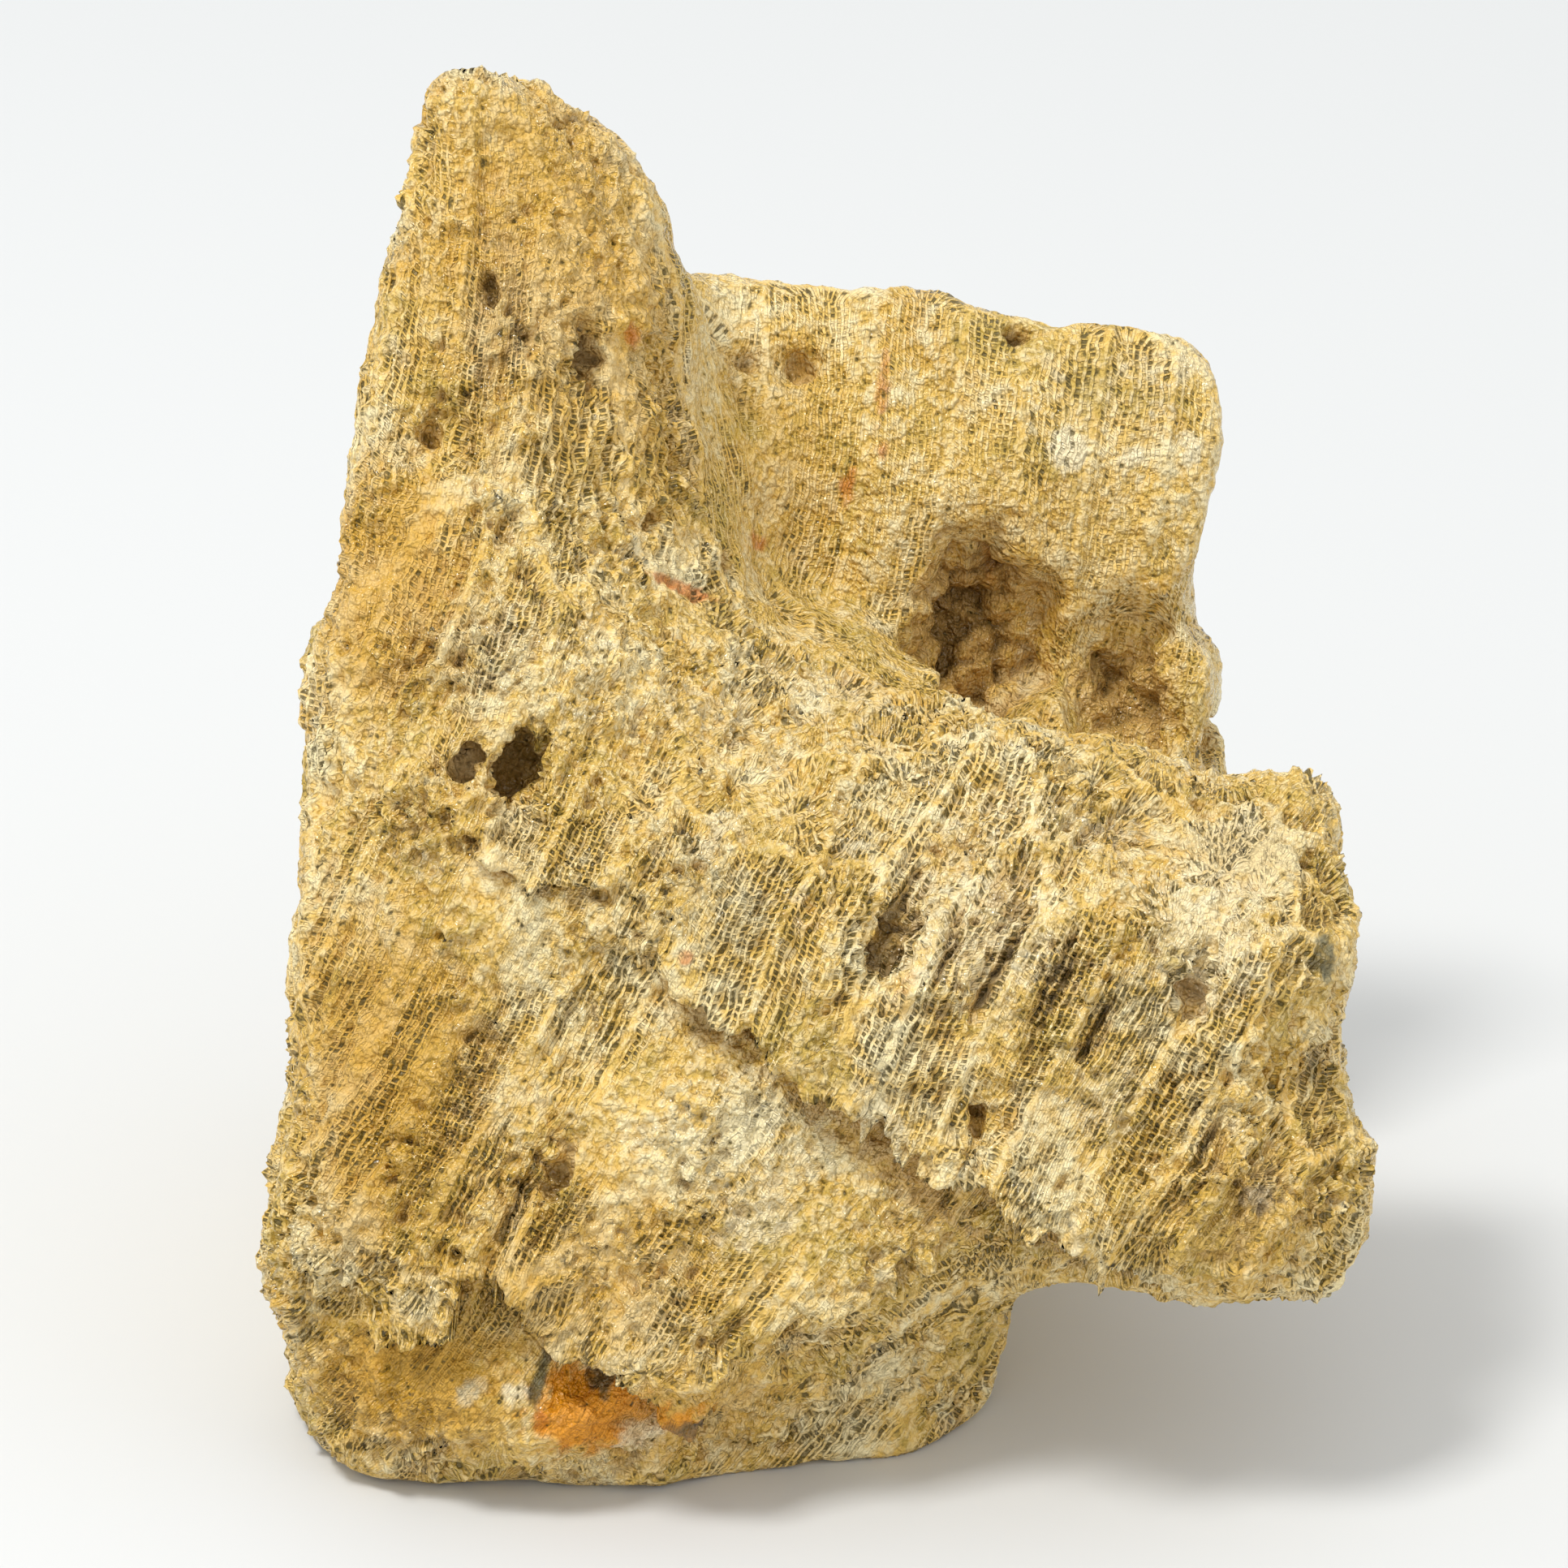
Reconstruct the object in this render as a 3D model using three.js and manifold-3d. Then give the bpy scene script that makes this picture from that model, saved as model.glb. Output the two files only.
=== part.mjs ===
// A broken lump of fossil star coral, one solid stone. A ledge-topped front slab runs up into a leaning horn at
// its left, a back wall stands behind a deep valley, and both grow from a blocky foot with a flat broken base.
// Millimetres, +Z up, the broken face looks along -Y, and the origin is the centre of the base.
import * as THREE from "three";
import { SimplifyModifier } from "three/addons/modifiers/SimplifyModifier.js";
import { ImprovedNoise } from "three/addons/math/ImprovedNoise.js";
import { mergeVertices } from "three/addons/utils/BufferGeometryUtils.js";
import Module from "manifold-3d";

// Driving dimensions. The front is drawn on a face plane that leans back from upright. Across and up are measured
// on that plane from its middle, and out is the height above it, towards whoever looks at the face.
const FACE_LEAN = THREE.MathUtils.degToRad(25);
const FACE_MIDDLE = [-1.4, -20.3, 45.5]; // where the middle of the face plane lies in the part's frame
const FLANK_FLARE = 420; // the flanks spread backwards as if drawn from a point this far in front of the face
const SLAB_THICKNESS = 22;

// Quality: the cell of the first, dense mesh, and the faces that are kept of it.
const DENSE_CELL = 1;
const KEPT_TRIANGLES = 9500;

// The outline of the front slab and its horn, clockwise from the horn's tip: [across, up].
const SLAB_OUTLINE = [
  [-21, 42.6], [-19, 43.1], [-15.8, 42.6], [-12.5, 40.9], [-9.6, 38.8], [-7.5, 36], [-6.7, 32.8], [-5.9, 29.8],
  [-4.7, 25.5], [-1, 22.5], [3, 18.5], [6.5, 13.5], [8.7, 9.5], [9.6, 6], [11.7, 4.1], [14.7, 3.7],
  [18.2, 2.9], [21.7, 1.7], [25.5, 0.1], [27.2, -0.3], [29.7, 0.2], [32, -0.1], [33.5, -1.7], [34, -5.5],
  [34.8, -7.2], [34.5, -10.5], [34.1, -16.5], [34.5, -20.2], [35.4, -22.5], [35.3, -25.2], [34.7, -28.7],
  [34, -31], [32.8, -32.2], [31.2, -31.5], [28.7, -31.3], [25.7, -31.8], [21.7, -31.1], [18.2, -30.1],
  [15.2, -31.6], [13.6, -35.2], [11.3, -39], [7, -42.6], [-0.3, -43.6], [-20.3, -43], [-24.8, -41.5],
  [-26.9, -40], [-28.5, -37.3], [-30, -34], [-31.4, -30.5], [-31.8, -28],
  [-31.3, -23.7], [-30.5, -18.7], [-30, -14.2], [-29.4, -9.2], [-29.1, -4.2], [-29.2, 0.3], [-28.9, 3.8],
  [-28.2, 7.3], [-27.4, 11.3], [-27, 15.8], [-26.4, 19.3], [-25.7, 22.8], [-25, 26.8], [-24.5, 30.8],
  [-23.8, 33.8], [-23.2, 36.8], [-22.4, 39.6], [-21.7, 41.7],
];

// The outline of the back wall, clockwise from where it leaves the horn.
const WALL_OUTLINE = [
  [-14, 22], [-9.5, 28], [-6.3, 30.9], [-1.3, 31.1], [1.7, 31.1], [4.7, 30.7], [8.2, 30.2], [11.2, 28.9],
  [14.2, 28.3], [17.2, 27.3], [20.2, 27.3], [23.2, 27.7], [25.4, 27.3], [26.2, 25.8], [26.3, 20.3], [26.1, 16.3],
  [25.7, 10.3], [25.9, 4.3], [25.6, 0], [23.7, -9], [20.7, -17], [10, -22], [-10, -22], [-18, -8], [-18, 10],
];

// Heights of the front slab's surface above the face plane: [across, up, out].
const SLAB_HEIGHTS = [
  // the horn
  [-20.3, 42.5, -12.5], [-16.3, 41.8, -14], [-11.3, 38.8, -16], [-8, 34, -19], [-22.3, 35.8, -11],
  [-17.3, 34.3, -10.5], [-12.3, 31.8, -12.5], [-7.8, 28.3, -18], [-23.3, 28.3, -9.5], [-18.3, 25.8, -8.5],
  [-13.3, 24.3, -10.5], [-8.8, 22.3, -16.5], [-5.8, 20.3, -23], [-25.3, 18.3, -7.5], [-20.3, 17.3, -6],
  [-15.3, 17.3, -7.5], [-10.8, 15.8, -12.5], [-5.3, 14.3, -20.5],
  // its foot and the head of the valley
  [-26.8, 8.3, -6], [-22.3, 8.3, -3.8], [-17.3, 9.3, -3.8], [-13.3, 11.3, -5.5], [-8.3, 8.8, -9],
  [-4.3, 6.8, -11], [-0.8, 4.8, -11.5], [1.7, 3.6, -10.5], [-4.3, 11.3, -19], [-0.8, 8.8, -19.5],
  [1.2, 9.8, -25], [4.2, 5.8, -17], [6.7, 5.2, -18], [5.2, 8.6, -26], [8.2, 6.2, -23], [-4.8, 25, -27],
  [-3.3, 20, -29], [-1.5, 15.5, -29.5], [1.2, 13.3, -32], [4.2, 11.3, -33], [8.2, 9.5, -34], [3.5, 17, -35],
  // the ledge's rim and its top
  [4.7, 3.1, -9], [11.7, 3.9, -8.5], [18.2, 2.9, -8.5], [25.2, 0.1, -9], [29.7, 0, -8], [32.7, -0.7, -9],
  [-3.3, 0.8, -5], [4.2, -0.7, -4.5], [11.7, -0.2, -4.3], [19.2, -1.7, -4.6], [26.7, -3.7, -5.2], [31.7, -4.2, -6],
  // the broken face, from the ledge's edge down
  [-28.4, -1.7, -6], [-24.3, -1.7, -3], [-18.3, -3.2, -1.5], [-8.3, -0.7, -1.8], [-0.8, -4.2, -0.7],
  [6.7, -5.7, 0], [14.2, -6.5, 0.5], [21.7, -7.2, 0.5], [29.2, -7.7, 0], [33.5, -8, -3], [-13.3, -6.7, -0.5],
  [-5.8, -9.2, 0], [1.7, -11.7, 0.6], [9.2, -14.2, 1.4], [16.7, -15.7, 2], [24.2, -15.7, 2], [29.7, -14.2, 1],
  [32.7, -14.2, -1.5], [33.9, -19.2, -3.5], [-29.3, -14.2, -5], [-24.3, -14.2, -2.2], [-18.3, -14.2, -1.2],
  [-10.8, -14.2, -0.8], [-30.3, -24.2, -5], [-25.8, -24.2, -2.3], [-18.3, -24.2, -1.2], [-10.8, -24.2, -0.8],
  [-3.3, -22, -0.9], [4.2, -26.7, -1.5], [11.7, -29.2, -3.5], [15.7, -30.7, -6], [-31.3, -28.7, -6],
  [-25.8, -29.7, -3.6], [-18.3, -30, -2.2], [-8.3, -31.7, -1.6], [-0.8, -32.7, -2.2], [6.7, -32.7, -4],
  [-4.8, -37, -3.6], [1.7, -35.2, -4.2],
  // the knob at the right
  [21.7, -24.2, 1.2], [29.2, -24.2, 2], [34.2, -24.2, -1], [21.7, -29.7, -1], [29.2, -30.2, 0], [33.2, -31, -3],
  // the lip under the crack, and the hollow underside
  [-28.3, -35.7, -8], [-23.3, -35.7, -5.4], [-15.8, -36.2, -5], [-8.3, -38.7, -5.6], [-24.3, -41.2, -9],
  [-20, -41.8, -7.8], [-13, -42, -7.8], [-7.5, -41.3, -8.5], [-20, -43.8, -12], [-12, -44, -12.5], [-4, -40, -10.5],
  [0, -43.8, -14], [1.7, -39.2, -13], [6, -42.8, -16], [7.7, -36.7, -14.5], [10.7, -39.5, -19], [11.7, -35.2, -17],
  [13.7, -33.2, -15],
];

// Heights of the back wall's surface.
const WALL_HEIGHTS = [
  [-12, 26, -25], [-5, 30, -31], [5, 30, -31.5], [15, 27.5, -32], [25, 26, -33], [-6, 18, -29], [3, 20, -30.5],
  [12, 19, -31], [22, 18, -31.5], [-2, 8, -31], [8, 9, -32], [17, 9, -33], [25, 8, -34], [10, -10, -36], [20, -10, -37],
];

// Steps across the face, where the part above a line stands out over the part below it: points [across, up] from
// left to right, the whole lift, and how far from the line it fades away.
const STEPS = [
  { line: [[-7.3, -12], [-0.8, -15.3], [3.5, -18.7], [6.7, -21], [13.7, -25.6], [18.2, -27.7], [22, -29]],
    lift: 2.6, fade: 5 },
  { line: [[-27, -31], [-23.3, -32.3], [-20.3, -32.3], [-18.3, -31.2], [-13.3, -33], [-8.3, -36.2], [-4.5, -37.7]],
    lift: 3.2, fade: 3.5 },
  { line: [[-21.3, -3.7], [-18.3, -5.5], [-13.3, -6.5], [-9.5, -6.7]], lift: 1.2, fade: 3 },
];

// Hollows: the middle [across, up], how far it lies out from the surface, half-sizes [across, up, out] and the
// turn of the hollow on the face, in degrees.
const SLAB_HOLLOWS = [
  { at: [-16.3, 1.1], out: 0.3, half: [1.7, 3.1, 3.4], turn: -24 }, // the round-ended hole above the step
  { at: [-19.4, 1.4], out: 0.3, half: [0.9, 1.7, 2.4], turn: -24 },
  { at: [-28.8, -0.3], out: 0.6, half: [1.6, 2.0, 2.4], turn: 0 }, // the notch in the left edge
  { at: [-13.9, -23.6], out: 0.6, half: [1.2, 4.2, 2.0], turn: -26 }, // opened tubes of the colony
  { at: [6.7, -9.3], out: 0.8, half: [2.1, 6.2, 2.2], turn: -28 },
  { at: [25.2, -12.7], out: 0.5, half: [1.2, 3.0, 2.6], turn: -14 },
  { at: [11.9, -21.4], out: 0.5, half: [1.5, 2.6, 2.2], turn: -24 },
  { at: [-3.2, 0.6], out: 0.8, half: [2.3, 2.6, 2.0], turn: -20 }, // the cup of one large polyp
  { at: [-12.2, 26.3], out: 0.6, half: [2.0, 3.2, 2.6], turn: -10 }, // weathered pits in the horn
  { at: [-21.8, 21.6], out: 0.6, half: [1.6, 2.4, 2.2], turn: 0 },
  { at: [-12.6, -36.7], out: 0.6, half: [2.4, 1.7, 2.0], turn: 20 },
];
const WALL_HOLLOWS = [
  { at: [11.6, 9.4], out: 0.5, half: [4.2, 7.4, 5.4], turn: -4 }, // the brown cavity
  { at: [21.2, 5.6], out: 0.8, half: [3.6, 4.6, 4.0], turn: 8 },
  { at: [1.2, 25.6], out: 0.6, half: [1.9, 1.5, 2.4], turn: 0 },
  { at: [15.2, 27.4], out: 0.6, half: [2.0, 1.4, 2.0], turn: 0 },
];

// Pits on the sides and the back: the middle [x, y, z] from the middle of the face plane, and half-sizes.
const FAR_HOLLOWS = [
  { at: [-9, 51.5, -11], half: [4.4, 2.8, 5.4] },
  { at: [9, 53, -29], half: [5.2, 2.6, 3.8] },
  { at: [15, 51, 2], half: [3.2, 2.6, 3.8] },
  { at: [-4, 53, -37], half: [3.2, 2.6, 2.8] },
  { at: [-27, 34, -22], half: [3.4, 3.8, 4.6] },
  { at: [-31, 12, -12], half: [2.6, 3.6, 4.8] },
  { at: [-28.5, 22, 5], half: [2.8, 5, 3.2] },
  { at: [27, 40, -14], half: [3, 5, 3] },
];

// Blocky masses are bounded by flanks, each a direction it faces [x, y, z] and its distance from the middle of the
// face plane.
const FOOT_FLANKS = [
  { faces: [-1, -0.08, 0.05], reach: 24.6 },
  { faces: [0.1, -0.985, -0.12], reach: 10.6 },
  { faces: [0, -0.906, 0.423], reach: -8 },
  { faces: [0.5, -0.785, 0.366], reach: -9.9 }, // it falls back under the slab towards the right
  { faces: [0.97, -0.2, -0.2], reach: 19.3 },
  { faces: [0.16, -0.04, 0.98], reach: -10 },
];
const SHOULDER_FLANKS = [ // behind the horn, up to the wall
  { faces: [-1, -0.08, 0.16], reach: 23.6 },
  { faces: [0, -0.906, 0.423], reach: -16 },
  { faces: [0.95, -0.05, 0.3], reach: -5 },
  { faces: [-0.15, 0.35, 0.92], reach: 28 },
];
const HORN_BACK_FLANKS = [ // it props the horn and slopes down to the wall's top
  { faces: [-1, -0.08, 0.16], reach: 22.4 },
  { faces: [0, -0.906, 0.423], reach: -15 },
  { faces: [0.916, -0.03, 0.4], reach: -3.2 },
  { faces: [-0.1, 0.75, 0.66], reach: 47 },
  { faces: [0, 0, -1], reach: -1 },
];
const SHELF_FLANKS = [ // under the head of the valley
  { faces: [-1, 0, 0], reach: 20 },
  { faces: [0, -0.906, 0.423], reach: -16 },
  { faces: [1, 0, 0.1], reach: 7 },
  { faces: [0.12, 0.05, 0.99], reach: -3 },
];
const LOBE_UNDERCUT = [ // the open space under the right-hand end of the slab
  { faces: [-1, 0, 0], reach: -15 },
  { faces: [0, -0.3, 0.95], reach: -31.5 },
];
const OUTER_FLANKS = [ // they trim the whole stone
  { faces: [-1, -0.08, 0.05], reach: 36.6 },
  { faces: [-0.75, 0.66, 0.08], reach: 46 },
  { faces: [0.04, 0.99, 0.07], reach: 50 },
  { faces: [-0.05, 0.86, 0.51], reach: 57 },
  { faces: [0.72, 0.69, -0.05], reach: 55.5 },
];
const FLOOR = -45.5; // the base, below the middle of the face plane

// Roundings where surfaces meet.
const EDGE_ROUND = 2.2;
const SLAB_BACK_ROUND = 9;
const WALL_ROUND = 2.5;
const FLANK_ROUND = 9;
const GROWN_TOGETHER = 5;
const UNDERCUT_ROUND = 3;
const BASE_ROUND = 2.5;
const ROUNDED_OFF = 0.5; // what the roundings take off an outline

// Weathering, as [height, length of one bump].
const LUMPS = [1.1, 13];
const KNUCKLES = [0.55, 5.2];
const SWELLS = [2.4, 19]; // on the far side only
const RAGGED = [0.6, 4.1]; // on the edges of hollows, as a share of their size

const smoothMin = (a, b, round) => {
  const near = Math.max(round - Math.abs(a - b), 0) / round;
  return Math.min(a, b) - near * near * round / 4;
};
const smoothMax = (a, b, round) => -smoothMin(-a, -b, round);

// The distance from a point to a line of points, and the side it lies on: above the line is positive.
function fromLine(points, across, up) {
  let best = Infinity;
  let side = 1;
  for (let i = 0; i + 1 < points.length; i++) {
    const [ax, ay] = points[i];
    const dx = points[i + 1][0] - ax;
    const dy = points[i + 1][1] - ay;
    const along = THREE.MathUtils.clamp(((across - ax) * dx + (up - ay) * dy) / (dx * dx + dy * dy), 0, 1);
    const distance = Math.hypot(across - ax - dx * along, up - ay - dy * along);
    if (distance < best) {
      best = distance;
      side = dx * (up - ay) - dy * (across - ax) < 0 ? -1 : 1;
    }
  }
  return best * side;
}

// The signed distance to a closed outline, negative inside.
function insideOutline(outline) {
  const closed = [...outline, outline[0]];
  return (across, up) => {
    let inside = false;
    for (let i = 0; i + 1 < closed.length; i++) {
      const [ax, ay] = closed[i];
      const [bx, by] = closed[i + 1];
      if (ay > up !== by > up && across < ((bx - ax) * (up - ay)) / (by - ay) + ax) inside = !inside;
    }
    return Math.abs(fromLine(closed, across, up)) * (inside ? -1 : 1);
  };
}

// A smooth surface through points [across, up, out]: a sum of cones with rounded tips, one over each point.
function surfaceThrough(points, tip = 4) {
  const cone = (across, up, point) => Math.hypot(across - point[0], up - point[1], tip);
  const mean = points.reduce((sum, point) => sum + point[2], 0) / points.length;
  const rows = points.map(([across, up, out]) => [...points.map((point) => cone(across, up, point)), out - mean]);
  const size = points.length;
  for (let column = 0; column < size; column++) {
    const pivot = rows.slice(column).reduce((best, row, i) =>
      Math.abs(row[column]) > Math.abs(rows[best][column]) ? column + i : best, column);
    [rows[column], rows[pivot]] = [rows[pivot], rows[column]];
    for (let row = 0; row < size; row++) {
      if (row === column) continue;
      const share = rows[row][column] / rows[column][column];
      for (let k = column; k <= size; k++) rows[row][k] -= share * rows[column][k];
    }
  }
  const weights = rows.map((row, i) => row[size] / row[i]);
  return (across, up) => points.reduce((sum, point, i) => sum + weights[i] * cone(across, up, point), mean);
}

const slabOutline = insideOutline(SLAB_OUTLINE);
const wallOutline = insideOutline(WALL_OUTLINE);
const slabHeight = surfaceThrough(SLAB_HEIGHTS);
const wallHeight = surfaceThrough(WALL_HEIGHTS);
const grain = new ImprovedNoise();

const bumps = ([height, length], x, y, z) => height * grain.noise(x / length + 7.3, y / length + 2.9, z / length + 5.1);

// How far the steps lift or sink the face at a place.
function stepLift(across, up) {
  let lift = 0;
  for (const step of STEPS) {
    const away = fromLine(step.line, across, up);
    lift += (step.lift / 2) * Math.tanh(away / 1.7) * Math.exp(-Math.abs(away) / step.fade);
  }
  return lift;
}

// Outside a hollow is positive. It lies on a surface whose height is given.
function hollowField({ at, out, half, turn }, surface, across, up, height) {
  const angle = THREE.MathUtils.degToRad(turn);
  const dx = across - at[0];
  const dy = up - at[1];
  const x = (dx * Math.cos(angle) + dy * Math.sin(angle)) / half[0];
  const y = (-dx * Math.sin(angle) + dy * Math.cos(angle)) / half[1];
  const z = (height - surface - out) / half[2];
  return (Math.hypot(x, y, z) - 1 - bumps(RAGGED, across, up, out) / 2) * Math.min(...half);
}

// A blocky mass, negative inside.
function mass(flanks, x, y, z) {
  const fields = flanks.map(({ faces, reach }) =>
    (faces[0] * x + faces[1] * y + faces[2] * z) / Math.hypot(...faces) - reach);
  return fields.reduce((field, flank) => smoothMax(field, flank, FLANK_ROUND));
}

// The stone: negative inside, zero at its surface. x, y and z are measured from the middle of the face plane.
function stoneField(x, y, z) {
  const up = y * Math.sin(FACE_LEAN) + z * Math.cos(FACE_LEAN);
  const out = -y * Math.cos(FACE_LEAN) + z * Math.sin(FACE_LEAN);
  const narrowed = FLANK_FLARE / (FLANK_FLARE - out);
  const a = x * narrowed;
  const u = up * narrowed;

  const slabFront = slabHeight(a, u) + stepLift(a, u);
  let slab = smoothMax(slabOutline(a, u) - ROUNDED_OFF, (out - slabFront) * 0.8, EDGE_ROUND);
  const slabBack = Math.min(slabFront * 0.35 - SLAB_THICKNESS, slabFront - SLAB_THICKNESS / 2);
  slab = smoothMax(slab, slabBack - out, SLAB_BACK_ROUND);
  slab = smoothMax(slab, -mass(LOBE_UNDERCUT, x, y, z), UNDERCUT_ROUND);

  const wallFront = wallHeight(a, u);
  const wall = smoothMax(wallOutline(a, u) - ROUNDED_OFF, out - wallFront, WALL_ROUND);

  let stone = smoothMin(mass(FOOT_FLANKS, x, y, z), mass(SHOULDER_FLANKS, x, y, z), GROWN_TOGETHER);
  stone = smoothMin(stone, mass(HORN_BACK_FLANKS, x, y, z), GROWN_TOGETHER);
  stone = smoothMin(stone, mass(SHELF_FLANKS, x, y, z), GROWN_TOGETHER);
  stone = smoothMin(smoothMin(slab, wall, GROWN_TOGETHER / 2), stone, GROWN_TOGETHER);
  stone = smoothMax(stone, mass(OUTER_FLANKS, x, y, z), FLANK_ROUND);
  for (const hollow of SLAB_HOLLOWS) stone = smoothMax(stone, -hollowField(hollow, slabFront, a, u, out), 0.8);
  for (const hollow of WALL_HOLLOWS) stone = smoothMax(stone, -hollowField(hollow, wallFront, a, u, out), 1.2);
  for (const { at, half } of FAR_HOLLOWS) {
    const away = Math.hypot((x - at[0]) / half[0], (y - at[1]) / half[1], (z - at[2]) / half[2]);
    stone = smoothMax(stone, (1 - away + bumps(RAGGED, x, y, z)) * Math.min(...half), 1.8);
  }
  const behind = THREE.MathUtils.smoothstep(y, 22, 42);
  const weathered = stone + bumps(LUMPS, x, y, z) + bumps(KNUCKLES, x, y, z) + behind * bumps(SWELLS, x, y, z);
  return smoothMax(weathered, FLOOR - 0.6 - z, BASE_ROUND);
}

// Six tetrahedra that fill a cube, around its diagonal. A cube's corner has bit 1 for x, 2 for y and 4 for z.
const TETRAHEDRA = [[0, 1, 3, 7], [0, 3, 2, 7], [0, 2, 6, 7], [0, 6, 4, 7], [0, 4, 5, 7], [0, 5, 1, 7]];

// A dense, closed mesh of the field's surface: each tetrahedron of the grid that the surface crosses adds one
// triangle or two, with their points on the tetrahedron's edges.
function polygonise(field, low, high, cell) {
  const count = low.map((start, axis) => Math.ceil((high[axis] - start) / cell) + 1);
  const stride = [1, count[0], count[0] * count[1]];
  const values = new Float32Array(count[0] * count[1] * count[2]);
  const coordinates = (n) => [n % count[0], Math.floor(n / stride[1]) % count[1], Math.floor(n / stride[2])];
  for (let n = 0; n < values.length; n++) values[n] = field(...coordinates(n).map((i, axis) => low[axis] + i * cell));

  const positions = [];
  const index = [];
  const pointOn = new Map();
  const crossing = (inner, outer) => {
    const key = Math.min(inner, outer) * values.length + Math.max(inner, outer);
    if (!pointOn.has(key)) {
      const share = THREE.MathUtils.clamp(values[inner] / (values[inner] - values[outer]), 0.05, 0.95);
      const [from, to] = [coordinates(inner), coordinates(outer)];
      pointOn.set(key, positions.length / 3);
      for (let axis = 0; axis < 3; axis++)
        positions.push(low[axis] + cell * (from[axis] + share * (to[axis] - from[axis])));
    }
    return pointOn.get(key);
  };
  const pointAt = (n) => new THREE.Vector3().fromArray(positions, 3 * n);
  const addTriangle = (a, b, c, outwards) => {
    const normal = pointAt(b).sub(pointAt(a)).cross(pointAt(c).sub(pointAt(a)));
    if (normal.dot(outwards) > 0) index.push(a, b, c);
    else index.push(a, c, b);
  };
  const corner = (n) => (n & 1) * stride[0] + ((n >> 1) & 1) * stride[1] + (n >> 2) * stride[2];
  for (let n = 0; n < values.length; n++) {
    if (coordinates(n).some((i, axis) => i + 1 === count[axis])) continue;
    const cube = Array.from({ length: 8 }, (_, m) => n + corner(m));
    const inside = cube.filter((m) => values[m] < 0).length;
    if (inside === 0 || inside === 8) continue;
    for (const tetrahedron of TETRAHEDRA) {
      const inner = tetrahedron.map((m) => cube[m]).filter((m) => values[m] < 0);
      const outer = tetrahedron.map((m) => cube[m]).filter((m) => values[m] >= 0);
      if (!inner.length || !outer.length) continue;
      const mean = (list) => list.reduce((sum, m) => sum.add(new THREE.Vector3(...coordinates(m))),
        new THREE.Vector3()).divideScalar(list.length);
      const outwards = mean(outer).sub(mean(inner));
      if (inner.length === 2) {
        const loop = [[0, 0], [0, 1], [1, 1], [1, 0]].map(([i, o]) => crossing(inner[i], outer[o]));
        addTriangle(loop[0], loop[1], loop[2], outwards);
        addTriangle(loop[0], loop[2], loop[3], outwards);
      } else {
        const points = inner.flatMap((i) => outer.map((o) => crossing(i, o)));
        addTriangle(...points, outwards);
      }
    }
  }
  const geometry = new THREE.BufferGeometry();
  geometry.setAttribute("position", new THREE.Float32BufferAttribute(positions, 3));
  geometry.setIndex(index);
  return geometry;
}

const wasm = await Module();
wasm.setup();

function solidOf(geometry) {
  const bare = geometry.clone();
  for (const name of Object.keys(bare.attributes)) if (name !== "position") bare.deleteAttribute(name);
  const merged = mergeVertices(bare, 1e-4);
  return new wasm.Manifold(new wasm.Mesh({
    numProp: 3,
    vertProperties: merged.attributes.position.array,
    triVerts: new Uint32Array(merged.index.array),
  }));
}

function geometryOf(solid) {
  const mesh = solid.getMesh();
  const geometry = new THREE.BufferGeometry();
  geometry.setAttribute("position", new THREE.BufferAttribute(mesh.vertProperties, 3));
  geometry.setIndex(new THREE.BufferAttribute(mesh.triVerts, 1));
  return geometry;
}

// One closed skin: crumbs and sealed bubbles are left out.
const largestPiece = (solid) =>
  solid.decompose().reduce((largest, piece) => (piece.volume() > largest.volume() ? piece : largest));

// The stone, simplified, set in the part's frame and cut off flat where it rests.
async function coralStone() {
  const dense = geometryOf(largestPiece(solidOf(polygonise(stoneField, [-38, -26, -48], [40, 62, 42], DENSE_CELL))));
  const surplus = dense.attributes.position.count - KEPT_TRIANGLES / 2;
  const kept = await new SimplifyModifier().modify(dense, surplus);
  kept.translate(...FACE_MIDDLE);
  const below = new THREE.BoxGeometry(200, 200, 20).translate(0, 0, -10);
  const stone = geometryOf(largestPiece(solidOf(kept).subtract(solidOf(below))));
  stone.computeVertexNormals();
  return stone;
}

const coralLimestone = new THREE.MeshStandardMaterial({ color: 0xc9a75c, roughness: 0.85, metalness: 0 });

const fossil = new THREE.Mesh(await coralStone(), coralLimestone);
fossil.name = "fossil_coral";

const group = new THREE.Group();
group.add(fossil);

export default group;
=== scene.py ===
import math

import bpy
import numpy as np
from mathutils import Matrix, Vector
from mathutils.bvhtree import BVHTree


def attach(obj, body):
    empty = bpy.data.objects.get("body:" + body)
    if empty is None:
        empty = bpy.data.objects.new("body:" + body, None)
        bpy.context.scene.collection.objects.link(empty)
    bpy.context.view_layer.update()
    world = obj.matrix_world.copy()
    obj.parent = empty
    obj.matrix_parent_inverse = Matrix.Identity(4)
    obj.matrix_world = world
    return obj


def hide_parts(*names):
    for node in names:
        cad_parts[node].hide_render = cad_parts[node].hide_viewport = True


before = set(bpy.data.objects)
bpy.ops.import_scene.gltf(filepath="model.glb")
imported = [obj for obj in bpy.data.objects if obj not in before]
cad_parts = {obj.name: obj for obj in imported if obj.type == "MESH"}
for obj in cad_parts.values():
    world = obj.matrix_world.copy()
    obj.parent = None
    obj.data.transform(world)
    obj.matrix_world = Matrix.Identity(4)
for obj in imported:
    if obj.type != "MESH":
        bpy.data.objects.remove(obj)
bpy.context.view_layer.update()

# A broken lump of fossil star coral on a pale floor. The imported solid gives its form; the colony's skeleton, the
# ragged breaks, the pits, the stains and the painted shade in the pores, the hollows and under a ledge are made here.
# Places on the broken face are given as the camera sees them, in millimetres right of and above the middle of the
# face, and are then set down on the stone itself.

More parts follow.
